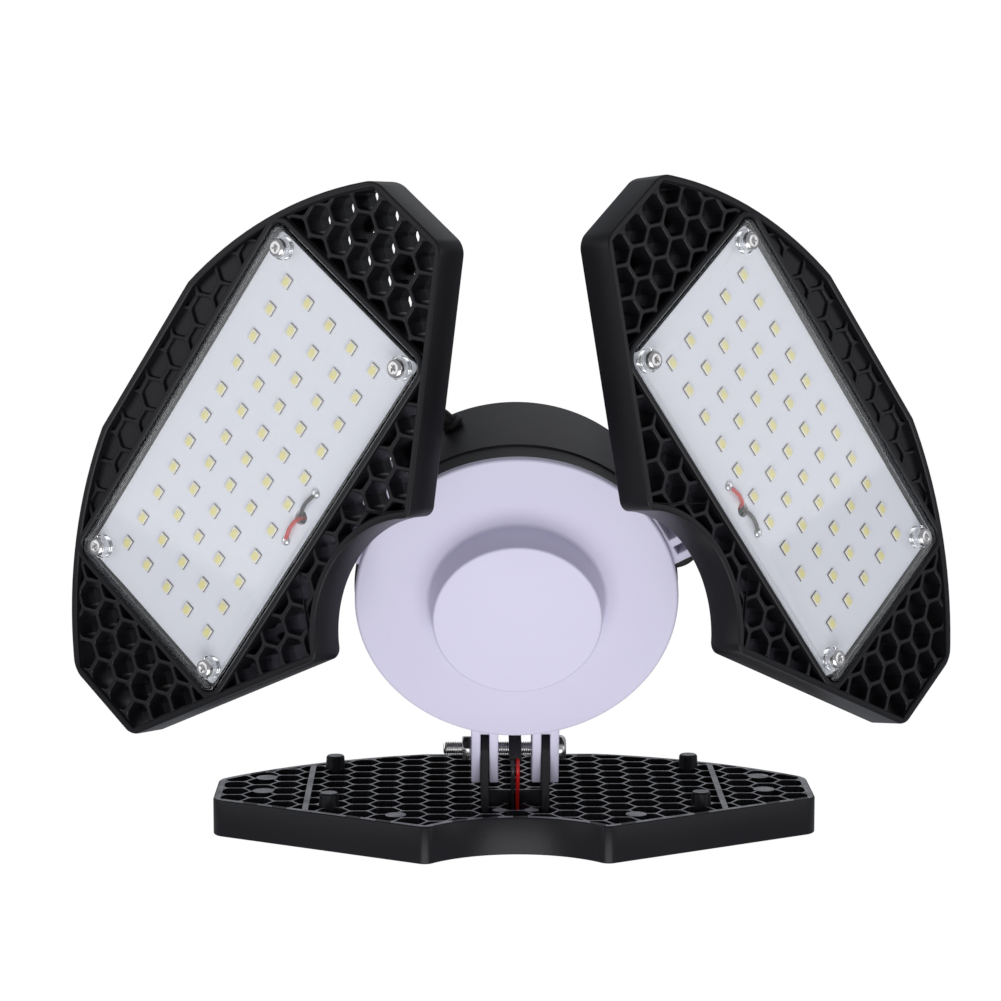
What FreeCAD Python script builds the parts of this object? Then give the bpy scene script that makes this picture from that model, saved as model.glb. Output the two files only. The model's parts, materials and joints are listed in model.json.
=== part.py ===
import FreeCAD, Part
import math
import os

# Deformable garage light: a screw-in ceiling lamp with a round driver housing and three
# honeycomb LED panels, each on its own friction hinge.
#
# Frame: millimetres, +Z up along the lamp axis, towards the lampholder. The origin is the
# centre of the screw base, in the plane where its metal shell meets the plastic collar, so
# the lamp hangs below z = 0 and shines towards -Z. The rear panel lies towards +Y.

Vector = FreeCAD.Vector

# ----------------------------------------------------------------- driving dimensions: hub
SHELL_RADIUS = 13.1            # screw base, outside
SHELL_LENGTH = 17.3            # straight part of the shell
SHELL_WALL = 0.5
SHELL_SHOULDER = 1.9           # height of the shell's turned-in end
INSULATOR_RISE = 3.9           # insulator above the shell's shoulder
CONTACT_RADIUS = 4.8
CONTACT_HEIGHT = 1.4
CONTACT_STEM_RADIUS = 2.0
CONTACT_STEM_BELOW_TOP = 2.4   # shell's straight end to the foot of the contact's stem
SHELL_MOUTH_INSET = 2.7        # shell's outside to its turned-in mouth
COLLAR_RADIUS = 15.0
COLLAR_HEIGHT = 2.5
GLASS_FIT = 0.05               # insulator round the contact's stem
SLEEVE_FIT = 0.1               # neck sleeve and insulator in the shell
NECK_HEIGHT = 27.0
NECK_FOOT_RADIUS = 30.0
NECK_FOOT_THICKNESS = 7.0
NECK_WALL = 2.2
NECK_FLARE = 1.5               # growth of the neck's radius below its collar
NECK_FOOT_TAPER = 3.0
HOUSING_DEPTH = 40.5           # back face to the cap's rim plane
HOUSING_BACK_RADIUS = 46.2
HOUSING_FRONT_RADIUS = 47.4
HOUSING_WALL = 2.2
HOUSING_BACK_WALL = 2.5
HOUSING_EDGE = 1.4             # bevel round the back
HOUSING_BOSS_RADIUS = 3.8      # bosses inside, for the ring's screws
LIP_RADIUS = 47.9
RIDGE_RADIUS = 48.4
LIP_HEIGHT = 9.0               # rim plane to the ridge round the housing
CAP_RADIUS = 48.1
CAP_THICKNESS = 1.8
BOSS_RADIUS = 25.0             # raised disc in the middle of the cap
BOSS_DRAFT = 0.9
BOSS_HEIGHT = 11.2
BOSS_FILLET = 3.0
CAP_EDGE = 0.8                 # bevel round the cap and its disc
RING_OUTER_RADIUS = 44.6
RING_INNER_RADIUS = 29.0
RING_THICKNESS = 4.2
SCREW_CIRCLE_RADIUS = 38.0     # screws that hold the ring to the housing
NECK_SCREW_CIRCLE_RADIUS = 24.0
NECK_SCREW_SPARE = 2.0         # foot left in front of each screw's end
RING_SCREW_LENGTH = 9.0
SCREW_AZIMUTHS = (30.0, 150.0, 270.0)    # hub screws, between the panels
M3_RADIUS = 1.5
M3_CLEARANCE = 0.15
FASTENER_SIDES = 6             # small fasteners and their holes have few sides
HEAD_SIDES = 8
BOLT_SIDES = 12
WIRE_SIDES = 4
CABLE_SIDES = 6
M3_HEAD_RADIUS = 2.8
M3_HEAD_HEIGHT = 1.9
BOARD_RADIUS = 34.0            # driver circuit board
BOARD_THICKNESS = 1.6
BOARD_STANDOFF = 6.0
STANDOFF_RADIUS = 2.6

# --------------------------------------------------------------- driving dimensions: hinge
HINGE_RADIUS = 58.5            # lamp axis to bolt axis
HINGE_ABOVE_RIM = 9.3
BOLT_RADIUS = 2.0
BOLT_CLEARANCE = 0.07          # running clearance of every bolt hole
BOLT_HEAD_RADIUS = 3.9
BOLT_HEAD_HEIGHT = 2.4
BOLT_END = 22.0                # lamp's mid plane to the end of the thread
NUT_ACROSS_FLATS = 7.0
NUT_THICKNESS = 2.8
HUB_EAR_RADIUS = 10.7
HUB_EAR_THICKNESS = 2.75
PANEL_EAR_RADIUS = 8.2
PANEL_EAR_THICKNESS = 2.4
PANEL_EAR_FLARE = 3.0          # growth of each ear's half width towards its root
INNER_EAR_FACE = 5.2           # half the clear gap between the inner ears
EAR_CLEARANCE = 0.15
ROOT_FACE_RADIUS = 48.8        # outer face of the block that carries the hub ears
ROOT_TOP = 20.0                # above the rim plane

# -------------------------------------------------------------- driving dimensions: panels
PANEL_OUTER_RADIUS = 130.0     # about the lamp axis, with the lamp opened flat
PANEL_INNER_RADIUS = 35.0
PANEL_OUTER_FLAT = 127.0       # straight stretch that trims the outer arc
TIP_HALF_WIDTH = 93.5
SECTOR_GAP = 5.9               # panel edge to the boundary of its third of the circle
CORNER_RADIUS = 3.0
PANEL_BACK = 16.5              # bolt axis to the panel's back plane
PANEL_DEPTH = 11.5
RIM_WALL = 2.1
RIB_STEP = 1.0                 # honeycomb lies this far below the rim's front edge
STRIP_STEP = 1.5               # outer strip below the rim's front edge
STRIP_THICKNESS = 2.0
FLOOR_THICKNESS = 2.0          # plate under the LED board
HEX_PITCH = 9.2                # flat to flat, centre to centre
HEX_RIB = 1.3
CELL_MIN_SHARE = 0.5           # smaller slivers of a cell at a wall stay solid
COVER_LENGTH = 126.0
COVER_WIDTH = 66.0
COVER_CENTRE = 20.2            # bolt axis to the middle of the cover, outwards
COVER_HEIGHT = 4.9
COVER_WALL = 1.3
COVER_CORNER = 4.0
COVER_GAP = 0.4                # cover to the pocket wall
POCKET_WALL = 1.8
SCREW_INSET = 5.9              # cover edge to screw centre
SCREW_BOSS_RADIUS = 3.5
POST_RADIUS = 2.9
POST_HEIGHT = 4.2              # post above the panel's back plane
POST_SIDES = 8
POST_END = 1.0                 # post left beyond each cover screw's end
LED_BOARD_GAP = 0.5            # board edge to the cover's wall
LED_BOARD_THICKNESS = 1.6
LED_PITCH = 10.0
LED_COLUMNS = 11
LED_ROWS = 5
LED_OFFSET = 0.5               # LED field's middle beyond the cover's middle, outwards
LED_LENGTH = 3.5
LED_WIDTH = 2.8
LED_HEIGHT = 0.7
WIRE_HOLE_RADIUS = 2.6
WIRE_HOLE_INSET = 7.8          # cover's edge to the hole that the leads come through
PAD_DISTANCE = 7.5             # wire hole to the end of each lead
SOLDER_RADIUS = 1.5
SOLDER_HEIGHT = 1.2
STIFFENER_HEIGHT = 4.0         # wall between the panel ears, beside the hole
STIFFENER_THICKNESS = 1.5
STIFFENER_BEYOND_HOLE = 1.6    # middle of the hole to the near face of the wall
EAR_OVERLAP = 0.5              # stiffener's reach into each ear

# --------------------------------------------------------------- driving dimensions: cable
CABLE_RADIUS = 2.0
WIRE_RADIUS = 0.6
WIRE_LIFT = 0.2                # leads above the board
LEAD_RADIUS = 0.9              # the two leads between the driver board and the screw base
WIRE_SPREAD = 0.75             # each wire's distance from the cable's centre line
GROMMET_FLANGE_RADIUS = 3.6
GROMMET_FLANGE = 1.0
GROMMET_RADIUS = 2.8
GROMMET_SIDES = 10
CABLE_EXIT_ANGLE = 36.0        # round the housing from the hinge
CABLE_EXIT_ABOVE_RIM = 31.0
WINDOW_MARGIN = 0.2            # housing window round the hinge block

# Name, azimuth and photographed fold of each panel. A fold of 0 is the lamp opened flat.
PANELS = [("rear", 90.0, 68.0), ("left", 210.0, 43.5), ("right", 330.0, 50.5)]

# --------------------------------------------------------------------------- derived levels
NECK_TOP_Z = -COLLAR_HEIGHT
NECK_SLEEVE_TOP_Z = SHELL_LENGTH * 0.6
HOUSING_BACK_Z = NECK_TOP_Z - NECK_HEIGHT
RIM_Z = HOUSING_BACK_Z - HOUSING_DEPTH
HINGE_Z = RIM_Z + HINGE_ABOVE_RIM
RING_FRONT_Z = RIM_Z + CAP_THICKNESS
RING_BACK_Z = RING_FRONT_Z + RING_THICKNESS
BOARD_Z = RING_BACK_Z + BOARD_STANDOFF
BOARD_TOP_Z = BOARD_Z + BOARD_THICKNESS
HOUSING_INNER_Z = HOUSING_BACK_Z - HOUSING_BACK_WALL
SHELL_TOP_Z = SHELL_LENGTH + SHELL_SHOULDER
INSULATOR_TOP_Z = SHELL_TOP_Z + INSULATOR_RISE

PANEL_EAR_FACE = INNER_EAR_FACE + HUB_EAR_THICKNESS + EAR_CLEARANCE
OUTER_EAR_FACE = PANEL_EAR_FACE + PANEL_EAR_THICKNESS + EAR_CLEARANCE
EAR_STACK = OUTER_EAR_FACE + HUB_EAR_THICKNESS
BOLT_HOLE_RADIUS = BOLT_RADIUS + BOLT_CLEARANCE

PANEL_FRONT = PANEL_BACK + PANEL_DEPTH
FLOOR_FRONT = PANEL_FRONT - COVER_HEIGHT
FLOOR_BACK = FLOOR_FRONT - FLOOR_THICKNESS
BOARD_FRONT = FLOOR_FRONT + LED_BOARD_THICKNESS
WIRE_HOLE_POSITION = COVER_CENTRE - COVER_WIDTH / 2 + WIRE_HOLE_INSET
SCREW_X = COVER_LENGTH / 2 - SCREW_INSET
SCREW_Y = COVER_WIDTH / 2 - SCREW_INSET
SCREW_PLACES = [(x, COVER_CENTRE + y) for x in (-SCREW_X, SCREW_X) for y in (-SCREW_Y, SCREW_Y)]

os.makedirs("parts", exist_ok=True)


# ------------------------------------------------------------------------------ small tools
def cylinder(radius, start, end):
    """A round bar from start to end."""
    line = end.sub(start)
    return Part.makeCylinder(radius, line.Length, start, line)


def bar(radius, start, end, sides):
    """A straight bar with few sides, for fasteners and for small or hidden round pieces."""
    axis = end.sub(start)
    angles = [math.radians(360.0 * i / sides) for i in range(sides + 1)]
    ring = [Vector(radius * math.cos(a), radius * math.sin(a), 0) for a in angles]
    prism = Part.Face(Part.makePolygon(ring)).extrude(Vector(0, 0, axis.Length))
    prism.Placement = FreeCAD.Placement(start, FreeCAD.Rotation(Vector(0, 0, 1), axis))
    return prism


def around(radius, sides):
    """Corner radius of a polygon that just clears a round of the given radius."""
    return radius / math.cos(math.pi / sides)


def upright_bar(radius, x, y, low_z, high_z, sides):
    return bar(radius, Vector(x, y, low_z), Vector(x, y, high_z), sides)


def block(low, high):
    """A box between two corners."""
    size = Vector(*high).sub(Vector(*low))
    return Part.makeBox(size.x, size.y, size.z, Vector(*low))


def rounded_block(length, width, low_z, high_z, radius, centre_y):
    """A flat box, centred on x = 0 and y = centre_y, with rounded upright edges."""
    box = block((-length / 2, centre_y - width / 2, low_z), (length / 2, centre_y + width / 2, high_z))
    upright = [e for e in box.Edges if abs(e.BoundBox.ZLength - (high_z - low_z)) < 0.001]
    return box.makeFillet(radius, upright)


def turned(points):
    """A solid of revolution about the lamp axis, from (radius, z) points."""
    corners = [Vector(r, 0, z) for r, z in points]
    face = Part.Face(Part.makePolygon(corners + corners[:1]))
    return face.revolve(Vector(0, 0, 0), Vector(0, 0, 1), 360)


def at_azimuth(shape, azimuth):
    """A copy of a shape modelled towards +Y, turned about the lamp axis to an azimuth."""
    copy = shape.copy()
    copy.rotate(Vector(0, 0, 0), Vector(0, 0, 1), azimuth - 90.0)
    return copy


def panel_axes(azimuth, fold):
    """The panel's long, outward and light directions, and the middle of its hinge bolt."""
    a = math.radians(azimuth)
    f = math.radians(fold)
    radial = Vector(math.cos(a), math.sin(a), 0)
    along = Vector(-math.sin(a), math.cos(a), 0)
    up = Vector(0, 0, 1)
    outward = radial * math.cos(f) + up * math.sin(f)
    light = radial * math.sin(f) - up * math.cos(f)
    return along, outward, light, radial * HINGE_RADIUS + up * HINGE_Z


def on_panel(shape, azimuth, fold):
    """A copy of a shape modelled in the panel's own frame, placed at its fold."""
    x, y, z, o = panel_axes(azimuth, fold)
    matrix = FreeCAD.Matrix(x.x, y.x, z.x, o.x, x.y, y.y, z.y, o.y, x.z, y.z, z.z, o.z, 0, 0, 0, 1)
    copy = shape.copy()
    copy.Placement = FreeCAD.Placement(matrix).multiply(shape.Placement)
    return copy


def panel_point(point, azimuth, fold):
    """A point of the panel's own frame in the lamp's frame."""
    x, y, z, o = panel_axes(azimuth, fold)
    return o + x * point[0] + y * point[1] + z * point[2]


def smooth_path(points):
    """Straight runs joined by the largest tangent arcs that the runs leave room for."""
    edges = []
    last = points[0]
    for before, here, after in zip(points, points[1:], points[2:]):
        back = before.sub(here)
        ahead = after.sub(here)
        cut = 0.45 * min(back.Length, ahead.Length)
        back.normalize()
        ahead.normalize()
        half_turn = (math.pi - back.getAngle(ahead)) / 2
        radius = cut / math.tan(half_turn)
        print("bend radius %.1f mm" % radius)
        inward = back.add(ahead).normalize()
        middle = here + inward * (radius / math.cos(half_turn) - radius)
        start = here + back * cut
        end = here + ahead * cut
        edges.append(Part.LineSegment(last, start).toShape())
        edges.append(Part.Arc(start, middle, end).toShape())
        last = end
    edges.append(Part.LineSegment(last, points[-1]).toShape())
    return Part.Wire(edges)


def tube(points, radius, sides):
    """A cable along a path, with few sides."""
    section = bar(radius, points[0], points[1], sides).Faces
    foot = min(section, key=lambda f: f.CenterOfMass.distanceToPoint(points[0]))
    return smooth_path(points).makePipeShell([foot.OuterWire], True, False)


def save(name, shape):
    """One sub-part, one file."""
    shape.exportStep("parts/" + name + ".step")


def group(solids):
    """Separate solids that share a node."""
    return Part.makeCompound(solids)


def pan_screw(length):
    """An M3 screw along -Z, with the underside of its pan head at z = 0."""
    shank = upright_bar(M3_RADIUS, 0, 0, -length, 0, FASTENER_SIDES)
    head = upright_bar(M3_HEAD_RADIUS, 0, 0, 0, M3_HEAD_HEIGHT, HEAD_SIDES)
    return shank.fuse(head)


def placed(shape, x, y, z):
    """A shifted copy."""
    copy = shape.copy()
    copy.translate(Vector(x, y, z))
    return copy


# ------------------------------------------------------------------------------- screw base
def make_screw_base():
    inner = SHELL_RADIUS - SHELL_WALL
    mouth = SHELL_RADIUS - SHELL_MOUTH_INSET
    stem_z = SHELL_LENGTH - CONTACT_STEM_BELOW_TOP
    shell = turned([
        (SHELL_RADIUS, 0), (SHELL_RADIUS, SHELL_LENGTH), (mouth, SHELL_TOP_Z),
        (mouth, SHELL_TOP_Z - 0.7), (inner, SHELL_LENGTH - 0.3), (inner, 0)])
    bore = CONTACT_STEM_RADIUS + GLASS_FIT
    seat = inner - SLEEVE_FIT
    throat = mouth - SLEEVE_FIT
    insulator = turned([
        (bore, INSULATOR_TOP_Z), (CONTACT_RADIUS + 0.4, INSULATOR_TOP_Z), (throat, SHELL_TOP_Z),
        (throat, SHELL_TOP_Z - 0.9), (seat, SHELL_LENGTH - 0.6), (seat, stem_z), (bore, stem_z)])
    contact = turned([
        (0, INSULATOR_TOP_Z + CONTACT_HEIGHT), (CONTACT_RADIUS * 0.6, INSULATOR_TOP_Z + CONTACT_HEIGHT),
        (CONTACT_RADIUS, INSULATOR_TOP_Z + CONTACT_HEIGHT * 0.4), (CONTACT_RADIUS, INSULATOR_TOP_Z),
        (CONTACT_STEM_RADIUS, INSULATOR_TOP_Z), (CONTACT_STEM_RADIUS, stem_z), (0, stem_z)])
    save("screw_base_shell", shell)
    save("screw_base_insulator", insulator)
    save("screw_base_contact", contact)


def make_neck():
    """The neck between the screw base and the housing, thick enough at its foot for the screws."""
    sleeve = SHELL_RADIUS - SHELL_WALL - SLEEVE_FIT
    bore = sleeve - NECK_WALL
    waist = COLLAR_RADIUS + NECK_FLARE
    waist_z = NECK_TOP_Z - NECK_HEIGHT * 0.35
    shoulder = NECK_FOOT_RADIUS - NECK_FOOT_TAPER
    shoulder_z = HOUSING_BACK_Z + NECK_FOOT_THICKNESS
    save("lamp_neck", turned([
        (bore, NECK_SLEEVE_TOP_Z), (sleeve, NECK_SLEEVE_TOP_Z), (sleeve, 0), (COLLAR_RADIUS, 0),
        (COLLAR_RADIUS, NECK_TOP_Z), (waist, waist_z), (shoulder, shoulder_z),
        (NECK_FOOT_RADIUS, HOUSING_BACK_Z), (bore, HOUSING_BACK_Z)]))
    length = HOUSING_BACK_WALL + NECK_FOOT_THICKNESS - NECK_SCREW_SPARE
    screw = pan_screw(length).mirror(Vector(0, 0, 0), Vector(0, 0, 1))
    screw = placed(screw, 0, NECK_SCREW_CIRCLE_RADIUS, HOUSING_INNER_Z)
    save("neck_screws", group([at_azimuth(screw, a) for a in SCREW_AZIMUTHS]))


# ---------------------------------------------------------------------------------- housing
def root_window(margin):
    """The space of the block that carries the hub ears, grown by a margin."""
    reach = ROOT_FACE_RADIUS + 5.0
    return block((-EAR_STACK - margin, RING_OUTER_RADIUS - 3.0, RING_FRONT_Z - 3.0),
                 (EAR_STACK + margin, reach, RIM_Z + ROOT_TOP + margin))


def make_housing():
    ridge_z = RIM_Z + LIP_HEIGHT
    inner_front = LIP_RADIUS - HOUSING_WALL
    inner_back = HOUSING_BACK_RADIUS - HOUSING_WALL
    bore = NECK_SCREW_CIRCLE_RADIUS * 0.5
    housing = turned([
        (bore, HOUSING_BACK_Z), (HOUSING_BACK_RADIUS - HOUSING_EDGE, HOUSING_BACK_Z),
        (HOUSING_BACK_RADIUS, HOUSING_BACK_Z - HOUSING_EDGE), (HOUSING_FRONT_RADIUS, ridge_z + 0.6),
        (RIDGE_RADIUS, ridge_z), (LIP_RADIUS, ridge_z - 1.2), (LIP_RADIUS, RING_FRONT_Z),
        (inner_front, RING_FRONT_Z), (inner_back, HOUSING_INNER_Z), (bore, HOUSING_INNER_Z)])
    boss = upright_bar(HOUSING_BOSS_RADIUS, 0, SCREW_CIRCLE_RADIUS, RING_BACK_Z, HOUSING_INNER_Z,
                       HEAD_SIDES)
    neck_hole = upright_bar(M3_RADIUS + M3_CLEARANCE, 0, NECK_SCREW_CIRCLE_RADIUS, HOUSING_INNER_Z,
                            HOUSING_BACK_Z, FASTENER_SIDES)
    exit_z = RIM_Z + CABLE_EXIT_ABOVE_RIM
    cable_hole = bar(GROMMET_RADIUS, Vector(0, HOUSING_BACK_RADIUS - 8.0, exit_z),
                     Vector(0, HOUSING_BACK_RADIUS + 8.0, exit_z), GROMMET_SIDES)
    for azimuth in SCREW_AZIMUTHS:
        housing = housing.fuse(at_azimuth(boss, azimuth)).cut(at_azimuth(neck_hole, azimuth))
    for name, azimuth, fold in PANELS:
        housing = housing.cut(at_azimuth(root_window(WINDOW_MARGIN), azimuth))
        housing = housing.cut(at_azimuth(cable_hole, azimuth + CABLE_EXIT_ANGLE))
    save("driver_housing", housing.removeSplitter())


def wall_radius(z):
    """Outside radius of the housing's tapered wall at a height."""
    share = (z - RIM_Z - LIP_HEIGHT) / (HOUSING_DEPTH - LIP_HEIGHT)
    return HOUSING_FRONT_RADIUS + (HOUSING_BACK_RADIUS - HOUSING_FRONT_RADIUS) * share


def make_grommets():
    z = RIM_Z + CABLE_EXIT_ABOVE_RIM
    outside = wall_radius(z)
    inside = outside - HOUSING_WALL
    back = outside + 0.3
    body = bar(GROMMET_RADIUS, Vector(0, inside - 1.0, z), Vector(0, back, z), GROMMET_SIDES)
    front = back + GROMMET_FLANGE
    flange = bar(GROMMET_FLANGE_RADIUS, Vector(0, back, z), Vector(0, front, z), GROMMET_SIDES)
    bore = bar(around(CABLE_RADIUS, GROMMET_SIDES), Vector(0, inside - 2.0, z), Vector(0, front + 1.0, z),
               GROMMET_SIDES)
    grommet = body.fuse(flange).cut(bore)
    save("cable_grommets", group([at_azimuth(grommet, a + CABLE_EXIT_ANGLE) for n, a, f in PANELS]))


# ------------------------------------------------------------------------------- hinge ring
def hub_ear(face):
    """One ear, from its inner face outwards along +X, with a round end about the bolt."""
    top = RIM_Z + ROOT_TOP
    drop = RING_FRONT_Z - HINGE_Z
    under = HINGE_RADIUS - math.sqrt(HUB_EAR_RADIUS ** 2 - drop ** 2)
    high = Vector(face, HINGE_RADIUS, HINGE_Z + HUB_EAR_RADIUS)
    tip = Vector(face, HINGE_RADIUS + HUB_EAR_RADIUS, HINGE_Z)
    low = Vector(face, under, RING_FRONT_Z)
    root_low = Vector(face, RING_OUTER_RADIUS, RING_FRONT_Z)
    root_high = Vector(face, RING_OUTER_RADIUS, top)
    outline = Part.Wire([
        Part.Arc(high, tip, low).toShape(), Part.makeLine(low, root_low),
        Part.makeLine(root_low, root_high), Part.makeLine(root_high, high)])
    return Part.Face(outline).extrude(Vector(HUB_EAR_THICKNESS, 0, 0))


def make_hinge_ring():
    ring = turned([
        (RING_INNER_RADIUS, RING_FRONT_Z), (RING_OUTER_RADIUS, RING_FRONT_Z),
        (RING_OUTER_RADIUS, RING_BACK_Z), (RING_INNER_RADIUS, RING_BACK_Z)])
    top = RIM_Z + ROOT_TOP
    carrier = block((-EAR_STACK, RING_OUTER_RADIUS - 3.0, RING_FRONT_Z),
                    (EAR_STACK, ROOT_FACE_RADIUS, top))
    for face in (INNER_EAR_FACE, OUTER_EAR_FACE):
        carrier = carrier.fuse(hub_ear(face)).fuse(hub_ear(-face - HUB_EAR_THICKNESS))
    bolt_hole = bar(around(BOLT_HOLE_RADIUS, HEAD_SIDES), Vector(-EAR_STACK - 1.0, HINGE_RADIUS, HINGE_Z),
                    Vector(EAR_STACK + 1.0, HINGE_RADIUS, HINGE_Z), HEAD_SIDES)
    carrier = carrier.cut(bolt_hole)
    standoff_y = (RING_INNER_RADIUS + BOARD_RADIUS) / 2
    standoff = upright_bar(STANDOFF_RADIUS, 0, standoff_y, RING_BACK_Z, BOARD_Z, FASTENER_SIDES)
    screw_hole = upright_bar(M3_RADIUS + M3_CLEARANCE, 0, SCREW_CIRCLE_RADIUS, RING_FRONT_Z,
                             RING_BACK_Z, FASTENER_SIDES)
    sink = M3_HEAD_HEIGHT + 0.1
    head_recess = upright_bar(M3_HEAD_RADIUS + 0.3, 0, SCREW_CIRCLE_RADIUS, RING_FRONT_Z,
                              RING_FRONT_Z + sink, HEAD_SIDES)
    for name, azimuth, fold in PANELS:
        ring = ring.fuse(at_azimuth(carrier, azimuth))
    for azimuth in SCREW_AZIMUTHS:
        ring = ring.fuse(at_azimuth(standoff, azimuth))
        ring = ring.cut(at_azimuth(screw_hole.fuse(head_recess), azimuth))
    save("hinge_ring", ring.removeSplitter())
    screw = pan_screw(RING_SCREW_LENGTH).mirror(Vector(0, 0, 0), Vector(0, 0, 1))
    screw = placed(screw, 0, SCREW_CIRCLE_RADIUS, RING_FRONT_Z + sink)
    save("ring_screws", group([at_azimuth(screw, a) for a in SCREW_AZIMUTHS]))


def make_hinge_hardware():
    base = Vector(EAR_STACK, 0, 0)
    tip = Vector(-BOLT_END, 0, 0)
    crown = base + Vector(BOLT_HEAD_HEIGHT, 0, 0)
    head = bar(BOLT_HEAD_RADIUS, base, crown, BOLT_SIDES)
    rim = [e for e in head.Edges if e.BoundBox.XMin > crown.x - 0.01]
    head = head.makeChamfer(BOLT_HEAD_HEIGHT * 0.35, rim)
    bolt = placed(head.fuse(bar(BOLT_RADIUS, tip, base, BOLT_SIDES)), 0, HINGE_RADIUS, HINGE_Z)
    corner = NUT_ACROSS_FLATS / math.sqrt(3)
    angles = [math.radians(60 * i) for i in range(7)]
    ring = [Vector(-EAR_STACK, corner * math.cos(a), corner * math.sin(a)) for a in angles]
    nut = Part.Face(Part.makePolygon(ring)).extrude(Vector(-NUT_THICKNESS, 0, 0))
    bore = bar(BOLT_RADIUS, Vector(-EAR_STACK - NUT_THICKNESS, 0, 0), Vector(-EAR_STACK, 0, 0), BOLT_SIDES)
    nut = placed(nut.cut(bore), 0, HINGE_RADIUS, HINGE_Z)
    for name, azimuth, fold in PANELS:
        save(name + "_hinge_bolt", at_azimuth(bolt, azimuth))
        save(name + "_hinge_nut", at_azimuth(nut, azimuth))


# ---------------------------------------------------------------------------------- the cap
def make_cap():
    """The dished cap, with its raised disc, drawn as one turned wall."""
    foot = BOSS_RADIUS + BOSS_DRAFT
    face_z = RIM_Z - BOSS_HEIGHT
    back_z = RIM_Z + CAP_THICKNESS
    wall = CAP_THICKNESS
    edge = CAP_EDGE
    save("front_cap", turned([
        (0, face_z + wall), (BOSS_RADIUS - wall, face_z + wall), (foot - wall, back_z),
        (CAP_RADIUS, back_z), (CAP_RADIUS, RIM_Z + edge), (CAP_RADIUS - edge, RIM_Z),
        (foot + BOSS_FILLET, RIM_Z), (foot + 0.3 * BOSS_FILLET, RIM_Z - 0.3 * BOSS_FILLET),
        (foot, RIM_Z - BOSS_FILLET), (BOSS_RADIUS, face_z + edge), (BOSS_RADIUS - edge, face_z),
        (0, face_z)]))


# ----------------------------------------------------------------------------- driver parts
def make_driver():
    board = Part.makeCylinder(BOARD_RADIUS, BOARD_THICKNESS, Vector(0, 0, BOARD_Z))
    save("driver_board", board)
    z = BOARD_TOP_Z
    core = block((-24, -9, z), (-4, 9, z + 15))
    bobbin = block((-21, -12, z + 2), (-7, 12, z + 12))
    save("driver_transformer", core.fuse(bobbin).removeSplitter())
    large = upright_bar(6.3, 10, 14, z, z + 20, BOLT_SIDES)
    small = upright_bar(4.0, 12, -13, z, z + 14, BOLT_SIDES)
    save("driver_capacitors", group([large, small]))
    save("driver_inductor", upright_bar(5.0, 20, 0, z, z + 10.4, BOLT_SIDES))
    rectifier = block((-6, 17, z), (2, 24, z + 2.6))
    regulator = block((-3, -25, z), (2, -21, z + 1.6))
    save("driver_chips", group([rectifier, regulator]))
    stem_z = SHELL_LENGTH - CONTACT_STEM_BELOW_TOP
    centre_lead = bar(LEAD_RADIUS, Vector(0, 0, z), Vector(0, 0, stem_z), FASTENER_SIDES)
    bend = NECK_SLEEVE_TOP_Z + 1.6
    side = SHELL_RADIUS - SHELL_WALL
    route = [Vector(7.0, 0, z), Vector(7.0, 0, bend), Vector(side, 0, bend)]
    side_lead = tube(route, LEAD_RADIUS, FASTENER_SIDES)
    save("mains_leads", group([centre_lead, side_lead]))


# ------------------------------------------------------------------------ honeycomb panels
def panel_outline():
    """Outline of a panel in its own frame: x along the hinge, y outwards from the bolt."""
    slope = math.tan(math.radians(30))
    offset = SECTOR_GAP / math.cos(math.radians(30))
    a = 1 + slope * slope
    b = slope * offset
    c = offset * offset - PANEL_INNER_RADIUS ** 2
    horn_x = (-b + math.sqrt(b * b - a * c)) / a
    tip_x = TIP_HALF_WIDTH
    kink_x = math.sqrt(PANEL_OUTER_RADIUS ** 2 - PANEL_OUTER_FLAT ** 2)
    middle_x = (tip_x + kink_x) / 2

    def point(x, radius_y, side):
        return Vector(x * side, radius_y - HINGE_RADIUS, 0)

    def on_arc(x):
        return math.sqrt(PANEL_OUTER_RADIUS ** 2 - x * x)

    edges = []
    for side in (1, -1):
        horn = point(horn_x, slope * horn_x + offset, side)
        elbow = point(tip_x, slope * tip_x + offset, side)
        tip = point(tip_x, on_arc(tip_x), side)
        kink = point(kink_x, PANEL_OUTER_FLAT, side)
        edges.append(Part.makeLine(horn, elbow))
        edges.append(Part.makeLine(elbow, tip))
        edges.append(Part.Arc(tip, point(middle_x, on_arc(middle_x), side), kink).toShape())
    horns = [point(horn_x, slope * horn_x + offset, side) for side in (1, -1)]
    kinks = [point(kink_x, PANEL_OUTER_FLAT, side) for side in (1, -1)]
    edges.append(Part.Arc(horns[0], point(0, PANEL_INNER_RADIUS, 1), horns[1]).toShape())
    edges.append(Part.makeLine(kinks[0], kinks[1]))
    return Part.Wire(Part.__sortEdges__(edges))


def slab(wire, low_z, high_z):
    """A flat solid over a wire drawn at z = 0."""
    face = Part.Face(wire)
    face.translate(Vector(0, 0, low_z))
    return face.extrude(Vector(0, 0, high_z - low_z))


def soften_corners(solid, radius):
    """Round the upright edges at the horns and tips, but not at the two outer kinks."""
    height = solid.BoundBox.ZLength
    flat_y = PANEL_OUTER_FLAT - HINGE_RADIUS
    upright = [e for e in solid.Edges
               if abs(e.BoundBox.ZLength - height) < 0.001 and e.BoundBox.YMax < flat_y - RIM_WALL * 2]
    return solid.makeFillet(radius, upright)


def hexagon(x, y, across, low_z, high_z):
    """A hexagonal prism with two flats parallel to the hinge."""
    corner = across / math.sqrt(3)
    angles = [math.radians(60 * i) for i in range(7)]
    ring = [Vector(x + corner * math.cos(a), y + corner * math.sin(a), low_z) for a in angles]
    return Part.Face(Part.makePolygon(ring)).extrude(Vector(0, 0, high_z - low_z))


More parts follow.
